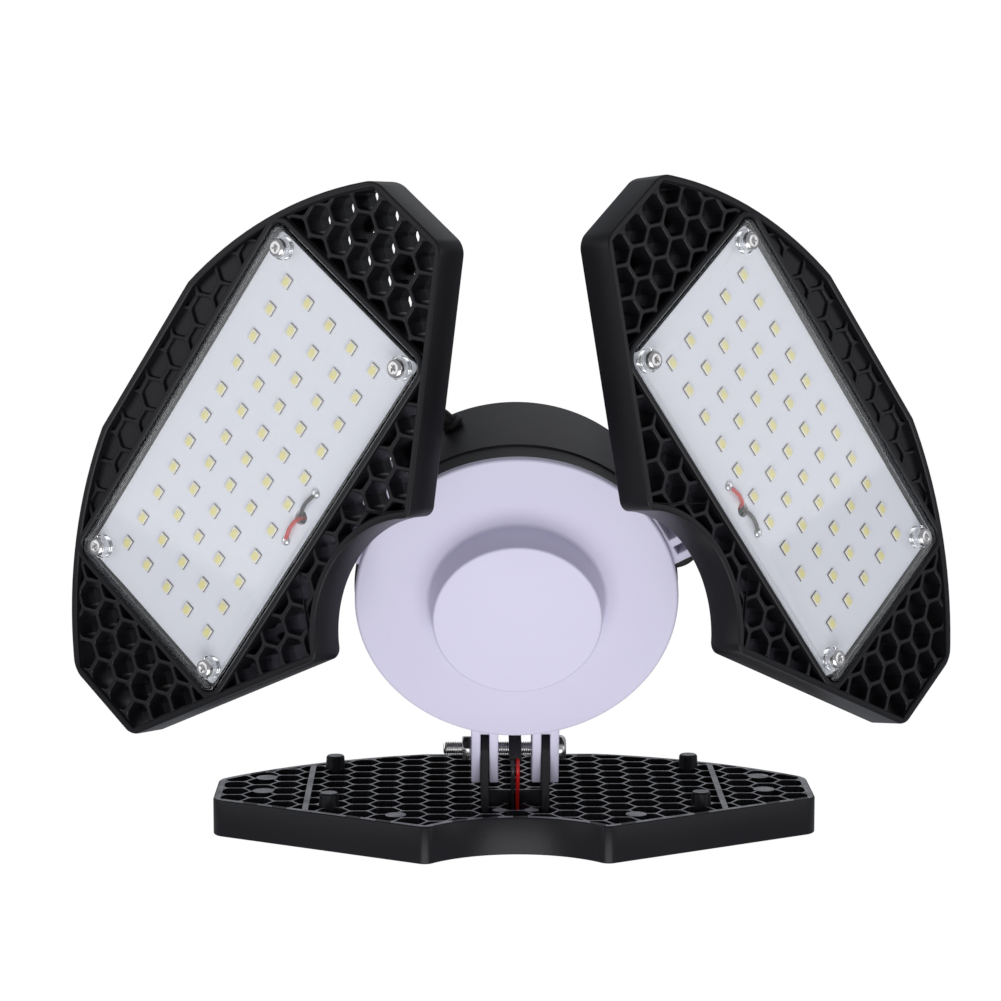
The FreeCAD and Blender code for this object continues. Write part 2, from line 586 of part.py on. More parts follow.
def cell_centres(region):
    """Honeycomb centres that fall in or next to a region's box, with a column on x = 0."""
    box = region.BoundBox
    column_step = HEX_PITCH * math.sqrt(3) / 2
    columns = int(box.XMax / column_step) + 2
    rows = int((box.YMax - box.YMin) / HEX_PITCH) + 3
    for i in range(-columns, columns + 1):
        for j in range(-1, rows):
            x = i * column_step
            y = box.YMin + (j + 0.5 * (i % 2)) * HEX_PITCH
            yield x, y


def cells_in(region, low_z, high_z):
    """Hexagonal prisms over a region, trimmed by it; slivers are left out."""
    across = HEX_PITCH - HEX_RIB
    full = across * across * math.sqrt(3) / 2 * (high_z - low_z)
    cells = []
    for x, y in cell_centres(region):
        prism = hexagon(x, y, across, low_z, high_z)
        inside = prism.common(region)
        for solid in inside.Solids:
            if solid.Volume > CELL_MIN_SHARE * full:
                cells.append(solid)
    return cells


def pocket_space(margin, low_z, high_z):
    """The LED pocket, grown by a margin beyond the cover."""
    return rounded_block(COVER_LENGTH + 2 * margin, COVER_WIDTH + 2 * margin, low_z, high_z,
                         COVER_CORNER + margin, COVER_CENTRE)


def panel_ear(face, root_z):
    """One ear of the panel, from its inner face along +X, with a round end about the bolt."""
    foot = PANEL_EAR_RADIUS + PANEL_EAR_FLARE
    near = Vector(face, -PANEL_EAR_RADIUS, 0)
    end = Vector(face, 0, -PANEL_EAR_RADIUS)
    far = Vector(face, PANEL_EAR_RADIUS, 0)
    corners = [far, Vector(face, foot, root_z), Vector(face, -foot, root_z), near]
    sides = [Part.makeLine(a, b) for a, b in zip(corners, corners[1:])]
    outline = Part.Wire([Part.Arc(near, end, far).toShape()] + sides)
    return Part.Face(outline).extrude(Vector(PANEL_EAR_THICKNESS, 0, 0))


def make_heat_sink():
    """The die-cast panel: rim, honeycomb, LED pocket, screw posts and hinge ears."""
    outline = panel_outline()
    body = soften_corners(slab(outline, PANEL_BACK, PANEL_FRONT), CORNER_RADIUS)
    floor_wire = [f for f in body.Faces if abs(f.CenterOfMass.z - PANEL_BACK) < 0.001][0].OuterWire
    inner_wire = floor_wire.makeOffset2D(-RIM_WALL)
    inner_wire.translate(Vector(0, 0, -PANEL_BACK))
    rib_front = PANEL_FRONT - RIB_STEP
    strip_front = PANEL_FRONT - STRIP_STEP
    strip_y = COVER_CENTRE + COVER_WIDTH / 2 + COVER_GAP + POCKET_WALL
    far = PANEL_OUTER_RADIUS

    step = slab(inner_wire, rib_front, PANEL_FRONT)
    strip = block((-far, strip_y, strip_front), (far, far, PANEL_FRONT))
    strip = strip.common(slab(inner_wire, strip_front, PANEL_FRONT))
    pocket_box = pocket_space(COVER_GAP, FLOOR_FRONT, PANEL_FRONT)
    pocket_rim = pocket_space(COVER_GAP + POCKET_WALL, rib_front, PANEL_FRONT)
    body = body.cut(step.cut(pocket_rim)).cut(strip.cut(pocket_rim)).cut(pocket_box)

    # Cells go right through at the ends and along the hinge side. The strip on the outer side
    # has its cells behind a thin skin. Two straight ribs run on from the pocket's end walls.
    ends_x = COVER_LENGTH / 2 + COVER_GAP + POCKET_WALL
    low = PANEL_BACK
    strip_back = strip_front - STRIP_THICKNESS
    whole = slab(inner_wire, low, PANEL_FRONT)
    pocket_wall = pocket_space(COVER_GAP + POCKET_WALL, low, PANEL_FRONT)
    open_zone = whole.cut(block((-ends_x, strip_y, low), (ends_x, far, PANEL_FRONT))).cut(pocket_wall)
    outer_strip = whole.common(block((-ends_x, strip_y, low), (ends_x, far, strip_back)))
    for rib_x in (-ends_x, ends_x - POCKET_WALL):
        rib = block((rib_x, -far, low), (rib_x + POCKET_WALL, far, PANEL_FRONT))
        open_zone = open_zone.cut(rib)
        outer_strip = outer_strip.cut(rib)
    cells = cells_in(open_zone, low, PANEL_FRONT)
    cells += cells_in(outer_strip, low, strip_back)
    body = body.cut(cells)

    for x, y in SCREW_PLACES:
        body = body.fuse(upright_bar(POST_RADIUS, x, y, PANEL_BACK - POST_HEIGHT, FLOOR_BACK, POST_SIDES))

    for face in (PANEL_EAR_FACE, -PANEL_EAR_FACE - PANEL_EAR_THICKNESS):
        body = body.fuse(panel_ear(face, FLOOR_BACK))
    reach = PANEL_EAR_FACE + EAR_OVERLAP
    near = WIRE_HOLE_POSITION + STIFFENER_BEYOND_HOLE
    body = body.fuse(block((-reach, near, PANEL_BACK - STIFFENER_HEIGHT),
                           (reach, near + STIFFENER_THICKNESS, FLOOR_BACK)))
    ear_hole = cylinder(BOLT_HOLE_RADIUS, Vector(-far, 0, 0), Vector(far, 0, 0))
    wire_hole = upright_bar(WIRE_HOLE_RADIUS, 0, WIRE_HOLE_POSITION, PANEL_BACK, PANEL_FRONT, CABLE_SIDES)
    return body.cut(ear_hole).cut(wire_hole).removeSplitter()


def screw_passage(x, y):
    """The clearance hole of a cover screw."""
    return upright_bar(M3_RADIUS + M3_CLEARANCE, x, y, FLOOR_FRONT, PANEL_FRONT, FASTENER_SIDES)


def make_led_board():
    inset = COVER_WALL + LED_BOARD_GAP
    half_length = COVER_LENGTH / 2 - inset
    half_width = COVER_WIDTH / 2 - inset
    board = block((-half_length, COVER_CENTRE - half_width, FLOOR_FRONT),
                  (half_length, COVER_CENTRE + half_width, BOARD_FRONT))
    upright = [e for e in board.Edges if abs(e.BoundBox.ZLength - LED_BOARD_THICKNESS) < 0.001]
    board = board.makeChamfer(COVER_CORNER / 2, upright)
    for x, y in SCREW_PLACES:
        board = board.cut(screw_passage(x, y))
    wire_hole = upright_bar(WIRE_HOLE_RADIUS, 0, WIRE_HOLE_POSITION, FLOOR_FRONT, BOARD_FRONT, CABLE_SIDES)
    return board.cut(wire_hole)


def make_led_chips():
    chips = []
    for i in range(LED_COLUMNS):
        for j in range(LED_ROWS):
            x = (i - (LED_COLUMNS - 1) / 2) * LED_PITCH
            y = COVER_CENTRE + LED_OFFSET + (j - (LED_ROWS - 1) / 2) * LED_PITCH
            chips.append(block((x - LED_LENGTH / 2, y - LED_WIDTH / 2, BOARD_FRONT),
                               (x + LED_LENGTH / 2, y + LED_WIDTH / 2, BOARD_FRONT + LED_HEIGHT)))
    return group(chips)


def make_cover():
    """The clear tray over the LEDs, with a boss round each screw."""
    outer = pocket_space(0, FLOOR_FRONT, PANEL_FRONT)
    hollow = rounded_block(COVER_LENGTH - 2 * COVER_WALL, COVER_WIDTH - 2 * COVER_WALL, FLOOR_FRONT,
                           PANEL_FRONT - COVER_WALL, COVER_CORNER - COVER_WALL, COVER_CENTRE)
    cover = outer.cut(hollow)
    boss_top = PANEL_FRONT - COVER_WALL / 2
    for x, y in SCREW_PLACES:
        cover = cover.fuse(upright_bar(SCREW_BOSS_RADIUS, x, y, BOARD_FRONT, boss_top, POST_SIDES))
    for x, y in SCREW_PLACES:
        cover = cover.cut(screw_passage(x, y))
    return cover.removeSplitter()


def make_cover_screws():
    length = PANEL_FRONT - PANEL_BACK + POST_HEIGHT - POST_END
    screw = pan_screw(length)
    return group([placed(screw, x, y, PANEL_FRONT) for x, y in SCREW_PLACES])


def make_solder_joints():
    """A bead of solder at the end of each lead."""
    reach = PAD_DISTANCE + SOLDER_RADIUS
    top = BOARD_FRONT + SOLDER_HEIGHT
    return group([upright_bar(SOLDER_RADIUS, x, WIRE_HOLE_POSITION, BOARD_FRONT, top, CABLE_SIDES)
                  for x in (-reach, reach)])


# ------------------------------------------------------------------------- cables and wires
def hub_point(radius, angle, above_rim):
    """A point near the housing: angle is counted round the lamp from the hinge."""
    a = math.radians(90.0 + angle)
    return Vector(radius * math.cos(a), radius * math.sin(a), RIM_Z + above_rim)


# Route of a cable from the driver board, out through the housing wall, round to the hinge
# and down between the bolt and the housing: radius, angle from the hinge, height over the rim.
CABLE_ROUTE = [
    (31.0, 36.0, BOARD_TOP_Z - RIM_Z), (31.0, 36.0, 31.0), (51.6, 36.0, 31.0), (56.2, 28.5, 31.0),
    (57.0, 13.0, 31.0), (54.4, 1.5, 26.5), (52.2, 0.0, 13.0), (56.6, 0.0, 0.0)]


def make_cable():
    return tube([hub_point(*place) for place in CABLE_ROUTE], CABLE_RADIUS, CABLE_SIDES)


def make_wire(side, azimuth, fold):
    """One lead from the cable's end, through the panel, to its solder joint."""
    turn = FreeCAD.Rotation(Vector(0, 0, 1), azimuth - 90.0)
    cable_end = hub_point(*CABLE_ROUTE[-1])
    away = turn.multVec(cable_end - hub_point(*CABLE_ROUTE[-2])).normalize()
    start = turn.multVec(cable_end + Vector(-side * WIRE_SPREAD, 0, 0))
    x = side * WIRE_SPREAD
    rest = BOARD_FRONT + WIRE_RADIUS + WIRE_LIFT
    places = [(x, WIRE_HOLE_POSITION, PANEL_BACK - 2.0), (x, WIRE_HOLE_POSITION, rest),
              (side * PAD_DISTANCE, WIRE_HOLE_POSITION, rest)]
    points = [start, start + away * 4.0] + [panel_point(p, azimuth, fold) for p in places]
    return tube(points, WIRE_RADIUS, WIRE_SIDES)


# -------------------------------------------------------------------------------------- run
make_screw_base()
make_neck()
make_housing()
make_grommets()
make_hinge_ring()
make_hinge_hardware()
make_cap()
make_driver()

panel_pieces = [
    ("heat_sink", make_heat_sink()),
    ("led_board", make_led_board()),
    ("led_chips", make_led_chips()),
    ("clear_cover", make_cover()),
    ("cover_screws", make_cover_screws()),
    ("solder_joints", make_solder_joints())]
cable = make_cable()

for name, azimuth, fold in PANELS:
    for piece, shape in panel_pieces:
        save(name + "_" + piece, on_panel(shape, azimuth, fold))
    save(name + "_cable", at_azimuth(cable, azimuth))
    save(name + "_red_wire", make_wire(-1, azimuth, fold))
    save(name + "_black_wire", make_wire(1, azimuth, fold))
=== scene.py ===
# %% [markdown]
# # A folding garage light, modelled piece by piece
# The lamp screws into a ceiling socket. A round driver housing carries three honeycomb
# panels, each on its own friction hinge. The solid model comes in as a fixed frame, in
# metres, and this lesson gives every piece its finished form and surface. Most pieces are
# drawn in millimetres in a handy frame of their own, then set down where they belong.

# %% Load the solid model and keep its size
import json
import math

import bmesh
import bpy
from mathutils import Matrix, Vector


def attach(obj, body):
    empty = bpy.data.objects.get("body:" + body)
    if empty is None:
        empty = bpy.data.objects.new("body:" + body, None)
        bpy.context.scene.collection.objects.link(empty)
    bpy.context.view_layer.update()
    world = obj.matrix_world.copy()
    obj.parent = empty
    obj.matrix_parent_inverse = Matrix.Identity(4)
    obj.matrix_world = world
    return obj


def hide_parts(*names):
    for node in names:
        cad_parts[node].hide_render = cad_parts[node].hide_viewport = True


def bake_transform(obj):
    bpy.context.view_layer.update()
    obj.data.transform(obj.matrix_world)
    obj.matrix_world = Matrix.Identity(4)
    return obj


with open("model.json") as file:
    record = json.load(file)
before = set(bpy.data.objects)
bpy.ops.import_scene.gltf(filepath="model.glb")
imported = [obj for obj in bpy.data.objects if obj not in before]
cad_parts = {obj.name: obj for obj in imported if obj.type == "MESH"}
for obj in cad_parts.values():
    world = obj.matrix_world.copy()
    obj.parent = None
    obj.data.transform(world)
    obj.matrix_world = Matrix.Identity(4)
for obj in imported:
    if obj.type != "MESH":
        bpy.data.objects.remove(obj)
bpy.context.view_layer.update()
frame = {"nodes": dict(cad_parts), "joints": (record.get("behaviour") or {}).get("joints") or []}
nodes = frame["nodes"]
bpy.ops.object.select_all(action="DESELECT")
MM = 0.001
print("solid model:", len(nodes), "nodes")

# %% [markdown]
# ## Where things go
# Two frames of reference save a lot of arithmetic. The hinge frame looks towards +Y and is
# turned about the lamp's axis for each panel. The panel frame has its origin on the hinge
# bolt: x runs along the hinge, y outwards and z the way the light shines. Both come from the
# hinges that the solid model already has, so a panel is placed at its own fold.

# %% Frames of the three hinges
RIM_Z = -70.0
HINGE_RADIUS = 58.5
HINGE_Z = -60.7
PANEL_NAMES = ("rear", "left", "right")
hinge_place = {}
panel_place = {}
for joint in frame["joints"]:
    name = joint["child"].replace("_panel", "")
    middle = Vector(joint["pos_m"])
    along = -Vector(joint["axis"]).normalized()
    fold = math.radians(-joint["range_deg"][0])
    up = Vector((0, 0, 1))
    radial = Vector((middle.x, middle.y, 0)).normalized()
    outward = radial * math.cos(fold) + up * math.sin(fold)
    light = radial * math.sin(fold) - up * math.cos(fold)
    turn = Matrix((along, outward, light)).transposed().to_4x4()
    panel_place[name] = Matrix.Translation(middle) @ turn
    azimuth = math.atan2(middle.y, middle.x)
    hinge_place[name] = Matrix.Rotation(azimuth - math.pi / 2, 4, "Z")
    print(name, "panel is folded by", round(math.degrees(fold), 1), "degrees")

# %% [markdown]
# ## Camera first
# The photograph looks up at the lamp from below and in front. Points read off it went
# into a least-squares fit, with the camera, the folds and the lamp's main sizes as unknowns and
# an LED pitch of 10 mm taken for granted. The camera's place, turn and lens come from that fit,
# and so do most outside sizes, rounded. The view is set first and never touched again.

# %% Camera
CAMERA_PLACE = (-0.0183, -0.49128, -0.87567)
CAMERA_TURN = (150.447, 0.768, -0.311)
camera_data = bpy.data.cameras.new("camera")
camera = bpy.data.objects.new("camera", camera_data)
bpy.context.scene.collection.objects.link(camera)
camera_data.sensor_width = 36.0
camera_data.lens = 114.27
camera_data.clip_start = 0.01
camera_data.clip_end = 20.0
camera.location = CAMERA_PLACE
camera.rotation_euler = [math.radians(degrees) for degrees in CAMERA_TURN]
bpy.context.scene.camera = camera
print("camera distance", round(camera.location.length, 3), "m")

# %% [markdown]
# ## Light, background and floor
# The product hangs in a bright tent: a large soft lamp below it lights the faces that look
# down, weaker ones fill the sides and the back. The white background is a colour seen by
# the camera and through clear plastic, so it adds no light to the object.


# %% Node helpers
def add(tree, kind, values=None, **settings):
    """Add a node, with its settings first and then the values of its sockets."""
    node = tree.nodes.new("ShaderNode" + kind)
    for key, value in settings.items():
        setattr(node, key, value)
    for key, value in (values or {}).items():
        node.inputs[key].default_value = value
    return node


def link(tree, *pairs):
    for start, end in pairs:
        tree.links.new(start, end)


def swap_for_rays(tree, rays, plain, special, target):
    """Show the special shader to two kinds of ray and the plain one to all others."""
    path = add(tree, "LightPath")
    either = add(tree, "Math", operation="MAXIMUM")
    mix = add(tree, "MixShader")
    link(tree, (path.outputs[rays[0]], either.inputs[0]), (path.outputs[rays[1]], either.inputs[1]),
         (either.outputs[0], mix.inputs[0]), (plain.outputs[0], mix.inputs[1]),
         (special.outputs[0], mix.inputs[2]), (mix.outputs[0], target))


# %% World
world = bpy.data.worlds.new("tent")
bpy.context.scene.world = world
world.use_nodes = True
tree = world.node_tree
tree.nodes.clear()
out = add(tree, "OutputWorld")
fill = add(tree, "Background", {"Color": (0.90, 0.92, 1.0, 1), "Strength": 0.34})
seen = add(tree, "Background", {"Color": (1, 1, 1, 1), "Strength": 1.0})
swap_for_rays(tree, ("Is Camera Ray", "Is Transmission Ray"), fill, seen, out.inputs["Surface"])
bpy.context.scene.view_settings.view_transform = "Standard"


# %% Lamps
def soft_lamp(name, place, aim, size, power):
    data = bpy.data.lights.new(name, "AREA")
    data.shape = "RECTANGLE"
    data.size, data.size_y = size
    data.energy = power
    lamp = bpy.data.objects.new(name, data)
    bpy.context.scene.collection.objects.link(lamp)
    lamp.location = place
    lamp.rotation_euler = (Vector(aim) - Vector(place)).to_track_quat("-Z", "Y").to_euler()


soft_lamp("tent_front", (0.0, 0.25, -1.1), (0, 0, -0.06), (1.2, 0.9), 7.3)
soft_lamp("tent_left", (-1.0, -0.35, -0.35), (0, 0, -0.06), (0.7, 0.9), 1.6)
soft_lamp("tent_right", (1.0, -0.35, -0.35), (0, 0, -0.06), (0.7, 0.9), 1.6)
soft_lamp("tent_top", (0.2, -0.5, 0.9), (0, 0, -0.05), (0.8, 0.8), 0.8)
soft_lamp("tent_back", (0.0, 1.1, -0.1), (0, 0, -0.06), (1.0, 0.6), 1.2)

# %% Floor, well below the lamp, where it is seen only from above
bpy.ops.mesh.primitive_plane_add(size=8.0, location=(0, 0, -1.25))
floor = bpy.context.object
floor.name = "floor"
paint = bpy.data.materials.new("pale_floor")
paint.use_nodes = True
shader = paint.node_tree.nodes["Principled BSDF"]
shader.inputs["Base Color"].default_value = (0.86, 0.86, 0.87, 1)
shader.inputs["Roughness"].default_value = 0.8
floor.data.materials.append(paint)
print("stage is set")

# %% [markdown]
# ## Shared surface effects
# Nearly every finish needs the same two things: a fine unevenness in gloss and height, and
# slow drifts of colour such as handling marks leave. Each effect is a node group, built
# once and set with its own values in each material.


# %% Node groups
def new_group(name, inputs, outputs):
    group = bpy.data.node_groups.new(name, "ShaderNodeTree")
    for label, kind, value in inputs:
        socket = group.interface.new_socket(label, in_out="INPUT", socket_type="NodeSocket" + kind)
        socket.default_value = value
    for label, kind in outputs:
        group.interface.new_socket(label, in_out="OUTPUT", socket_type="NodeSocket" + kind)
    enter = group.nodes.new("NodeGroupInput")
    leave = group.nodes.new("NodeGroupOutput")
    return group, enter, leave


grain, enter, leave = new_group(
    "fine_grain",
    [("Scale", "Float", 900.0), ("Gloss", "Float", 0.4),
     ("Gloss spread", "Float", 0.1)],
    [("Roughness", "Float"), ("Height", "Float")])
where = add(grain, "TexCoord")
fine = add(grain, "TexNoise", {"Detail": 3.0})
slow = add(grain, "TexNoise", {"Scale": 28.0, "Detail": 4.0})
centre = add(grain, "Math", {1: 0.5}, operation="SUBTRACT")
spread = add(grain, "Math", operation="MULTIPLY_ADD")
link(grain, (where.outputs["Object"], fine.inputs["Vector"]),
     (where.outputs["Object"], slow.inputs["Vector"]),
     (enter.outputs["Scale"], fine.inputs["Scale"]),
     (slow.outputs["Fac"], centre.inputs[0]),
     (centre.outputs[0], spread.inputs[0]),
     (enter.outputs["Gloss spread"], spread.inputs[1]),
     (enter.outputs["Gloss"], spread.inputs[2]),
     (spread.outputs[0], leave.inputs["Roughness"]),
     (fine.outputs["Fac"], leave.inputs["Height"]))

drift, enter, leave = new_group(
    "colour_drift",
    [("Colour", "Color", (0.5, 0.5, 0.5, 1)),
     ("Shade", "Color", (0.4, 0.4, 0.4, 1)),
     ("Scale", "Float", 30.0), ("Amount", "Float", 0.3)],
    [("Colour", "Color")])
where = add(drift, "TexCoord")
cloud = add(drift, "TexNoise", {"Detail": 5.0})
curve = add(drift, "MapRange", {"From Min": 0.35, "From Max": 0.75})
strength = add(drift, "Math", operation="MULTIPLY")
blend = add(drift, "Mix", data_type="RGBA")
link(drift, (where.outputs["Object"], cloud.inputs["Vector"]),
     (enter.outputs["Scale"], cloud.inputs["Scale"]),
     (cloud.outputs["Fac"], curve.inputs["Value"]),
     (curve.outputs["Result"], strength.inputs[0]),
     (enter.outputs["Amount"], strength.inputs[1]),
     (strength.outputs[0], blend.inputs["Factor"]),
     (enter.outputs["Colour"], blend.inputs["A"]),
     (enter.outputs["Shade"], blend.inputs["B"]),
     (blend.outputs["Result"], leave.inputs["Colour"]))


# %% One maker for the plain finishes
def finish(name, colour, shade, gloss, metal=0.0, grain_scale=900.0, grain_depth=0.02,
           gloss_spread=0.1, drift_scale=30.0, drift_amount=0.3, coat=0.0, shine=0.5):
    """A material with the two shared effects; depths are in millimetres."""
    made = bpy.data.materials.new(name)
    made.use_nodes = True
    tree = made.node_tree
    shader = tree.nodes["Principled BSDF"]
    tint = add(tree, "Group", {"Colour": (*colour, 1), "Shade": (*shade, 1), "Scale": drift_scale,
                               "Amount": drift_amount}, node_tree=drift)
    skin = add(tree, "Group", {"Scale": grain_scale, "Gloss": gloss, "Gloss spread": gloss_spread},
               node_tree=grain)
    bump = add(tree, "Bump", {"Distance": grain_depth * MM})
    link(tree, (tint.outputs["Colour"], shader.inputs["Base Color"]),
         (skin.outputs["Roughness"], shader.inputs["Roughness"]),
         (skin.outputs["Height"], bump.inputs["Height"]),
         (bump.outputs["Normal"], shader.inputs["Normal"]))
    shader.inputs["Metallic"].default_value = metal
    shader.inputs["Specular IOR Level"].default_value = shine
    shader.inputs["Coat Weight"].default_value = coat
    shader.inputs["Coat Roughness"].default_value = 0.12
    return made


black_cast = finish("black_lacquered_casting", (0.007, 0.007, 0.009), (0.013, 0.013, 0.015),
                    0.36, grain_scale=700, grain_depth=0.03, gloss_spread=0.12, shine=0.3)
white_cast = finish("white_lacquered_casting", (0.80, 0.77, 0.95), (0.74, 0.71, 0.90), 0.42,
                    grain_scale=500)
black_plastic = finish("black_moulded_plastic", (0.014, 0.014, 0.018), (0.02, 0.02, 0.024), 0.44,
                       grain_scale=1500, grain_depth=0.03, shine=0.3)
rubber = finish("black_rubber", (0.012, 0.012, 0.013), (0.02, 0.02, 0.02), 0.6, grain_scale=1800)
red_vinyl = finish("red_wire_vinyl", (0.60, 0.012, 0.014), (0.42, 0.008, 0.01), 0.32,
                   grain_scale=2200)
black_vinyl = finish("black_wire_vinyl", (0.02, 0.02, 0.022), (0.04, 0.04, 0.04), 0.3,
                     grain_scale=2200)
board_mask = finish("white_solder_mask", (0.90, 0.915, 0.97), (0.85, 0.87, 0.95), 0.3,
                    grain_scale=1600, grain_depth=0.01, drift_scale=14, drift_amount=0.5)
led_body = finish("led_ceramic_body", (0.92, 0.89, 0.74), (0.86, 0.82, 0.64), 0.35,
                  grain_scale=4000)
# Dark brown for the plate under each LED: painted shade along the sides of the body.
led_foot = finish("led_lead_frame", (0.09, 0.065, 0.08), (0.05, 0.035, 0.045), 0.35, metal=0.6,
                  grain_scale=4000)
phosphor = finish("led_phosphor", (0.93, 0.86, 0.36), (0.90, 0.79, 0.28), 0.28, grain_scale=5000,
                  drift_scale=60, drift_amount=0.6)
solder_metal = finish("solder", (0.62, 0.62, 0.64), (0.45, 0.45, 0.46), 0.22, metal=1.0,
                      grain_scale=2500)
steel = finish("plated_steel", (0.80, 0.79, 0.78), (0.60, 0.59, 0.58), 0.22, metal=1.0,
               grain_scale=2600)
nickel = finish("nickel_plated_brass", (0.66, 0.64, 0.60), (0.52, 0.50, 0.47), 0.2, metal=1.0,
                grain_scale=1200)
brass = finish("brass", (0.70, 0.50, 0.20), (0.50, 0.34, 0.13), 0.3, metal=1.0, grain_scale=2000)
base_glass = finish("black_base_glass", (0.008, 0.008, 0.010), (0.015, 0.015, 0.02), 0.12,
                    coat=0.6)
laminate = finish("green_laminate", (0.03, 0.14, 0.06), (0.02, 0.10, 0.04), 0.4, grain_scale=2500)
component = finish("dark_component", (0.03, 0.03, 0.035), (0.06, 0.06, 0.06), 0.45,
                   grain_scale=2500)
# Pale grey with a mottled drift for the casting's back faces: a painted sheen, standing in for the
# white tent reflected by the black lacquer at a grazing angle.
back_face_sheen = finish("sanded_rib_top", (0.50, 0.50, 0.51), (0.12, 0.12, 0.13), 0.36, metal=0.35,
                    grain_scale=1800, drift_scale=160, drift_amount=0.9)
print("plain finishes:", len(bpy.data.materials))


# %% [markdown]
# ## Clear plastic
# The covers are thick clear trays. A refractive shader gives their edges the double lines
# seen in real ones, but it would keep lamp light from the board behind, so rays that only
# carry light to a surface pass straight through.

# %% Clear plastic with a path for lamp light
clear = bpy.data.materials.new("clear_polycarbonate")
clear.use_nodes = True
tree = clear.node_tree
shader = tree.nodes["Principled BSDF"]
shader.inputs["Base Color"].default_value = (0.98, 0.99, 1.0, 1)
shader.inputs["Transmission Weight"].default_value = 1.0
shader.inputs["IOR"].default_value = 1.49
skin = add(tree, "Group", {"Gloss": 0.04, "Gloss spread": 0.05}, node_tree=grain)
link(tree, (skin.outputs["Roughness"], shader.inputs["Roughness"]))
swap_for_rays(tree, ("Is Shadow Ray", "Is Diffuse Ray"), shader, add(tree, "BsdfTransparent"),
              tree.nodes["Material Output"].inputs["Surface"])

# %% [markdown]
# ## Handy tools
# The operators act on whatever is selected, so these helpers make one object active, pick
# its corners, edges or faces by a test on their place, and set a finished piece down.


# %% Selecting and placing
def only(piece):
    if bpy.context.mode != "OBJECT":
        bpy.ops.object.mode_set(mode="OBJECT")
    bpy.ops.object.select_all(action="DESELECT")
    piece.select_set(True)
    bpy.context.view_layer.objects.active = piece


def edit(piece):
    only(piece)
    bpy.ops.object.mode_set(mode="EDIT")
    bpy.ops.mesh.select_mode(type="FACE")
    bpy.ops.mesh.select_all(action="SELECT")


def done():
    bpy.ops.object.mode_set(mode="OBJECT")
    return bpy.context.object


def pick(kind, test):
    """Select the corners, edges or faces whose middle, in millimetres, passes the test."""
    bpy.ops.mesh.select_mode(type=kind)
    bpy.ops.mesh.select_all(action="DESELECT")
    mesh = bmesh.from_edit_mesh(bpy.context.object.data)
    if kind == "VERT":
        chosen = [v for v in mesh.verts if test(v.co / MM)]
    elif kind == "EDGE":
        ends = [(e, e.verts[0].co, e.verts[1].co) for e in mesh.edges]
        chosen = [e for e, a, b in ends if test((a + b) / 2 / MM, (b - a) / MM)]
    else:
        chosen = [f for f in mesh.faces if test(f.calc_center_median() / MM, f.normal)]
    for element in chosen:
        element.select_set(True)
    mesh.select_flush_mode()
    bmesh.update_edit_mesh(bpy.context.object.data)


def pick_all():
    bpy.ops.mesh.select_all(action="SELECT")


def pick_open_edges():
    bpy.ops.mesh.select_all(action="DESELECT")
    bpy.ops.mesh.select_non_manifold()


def face_outward():
    pick_all()
    bpy.ops.mesh.normals_make_consistent(inside=False)


def shift(x, y, z):
    bpy.ops.transform.translate(value=(x * MM, y * MM, z * MM))


def grow(x, y, z, centre=(0, 0, 0)):
    bpy.ops.transform.resize(value=(x, y, z), center_override=[c * MM for c in centre])


def pull(x, y, z):
    """Extrude what is picked and move its new end."""
    bpy.ops.mesh.extrude_region_move()
    shift(x, y, z)


def fresh(name):
    """The object that the last operator added, under a name of its own."""
    piece = bpy.context.object
    piece.name = piece.data.name = name
    return piece


def bevel_picked(offset, segments):
    bpy.ops.mesh.bevel(offset=offset * MM, segments=segments, affect="EDGES")


def copy_of(piece, name):
    twin = piece.copy()
    twin.data = piece.data.copy()
    twin.name = twin.data.name = name
    bpy.context.scene.collection.objects.link(twin)
    return twin


def join(pieces, name):
    only(pieces[0])
    for piece in pieces[1:]:
        piece.select_set(True)
    bpy.ops.object.join()
    return fresh(name)


def put(piece, place):
    """Apply a place to the mesh, so that the object itself stays at the origin."""
    only(piece)
    piece.matrix_world = place @ piece.matrix_world
    bpy.ops.object.transform_apply(location=True, rotation=True, scale=True)
    return piece


def moved(x, y, z):
    return Matrix.Translation((x * MM, y * MM, z * MM))


def turned(degrees, axis="Z"):
    return Matrix.Rotation(math.radians(degrees), 4, axis)


def settle(piece):
    return put(piece, Matrix.Identity(4))


def smooth(piece, degrees=35):
    only(piece)
    bpy.ops.object.shade_smooth_by_angle(angle=math.radians(degrees))
    return piece


def modify(piece, kind, **values):
    """Add a modifier, set it and apply it."""
    only(piece)
    modifier = piece.modifiers.new(kind.lower(), kind)
    for key, value in values.items():
        setattr(modifier, key, value)
    bpy.ops.object.modifier_apply(modifier=modifier.name)
    return piece


def round_edges(piece, width, segments, degrees=30):
    """Bevel the edges where two faces meet at more than an angle."""
    return modify(piece, "BEVEL", width=width * MM, segments=segments, limit_method="ANGLE",
                  angle_limit=math.radians(degrees))


def carve(piece, cutter, operation="DIFFERENCE"):
    settle(piece)
    settle(cutter)
    modify(piece, "BOOLEAN", operation=operation, solver="MANIFOLD", object=cutter)
    bpy.data.objects.remove(cutter)
    return piece


CROSS_START, CROSS_SPACING = -95.63, 4.6


def crossed(piece):
    """Cut all faces along a row of planes, so that no later cut leaves a face with a hole."""
    edit(piece)
    x = CROSS_START
    while x < -CROSS_START:
        pick_all()
        bpy.ops.mesh.bisect(plane_co=(x * MM, 0, 0), plane_no=(1, 0, 0))
        x += CROSS_SPACING
    return done()


def dress(piece, material, body, replaced):
    """Give a finished piece its material and body, and hide the node it stands for."""
    if material is not None:
        piece.data.materials.clear()
        piece.data.materials.append(material)
    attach(piece, body)
    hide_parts(replaced)


# %% [markdown]
# ## Turned pieces
# Housing, cap, neck and base are all round about the lamp's axis. A ring of corners is
# extruded from one radius to the next, as on a lathe, then the ends are filled or joined.


# %% The lathe
SAME = 1e-6


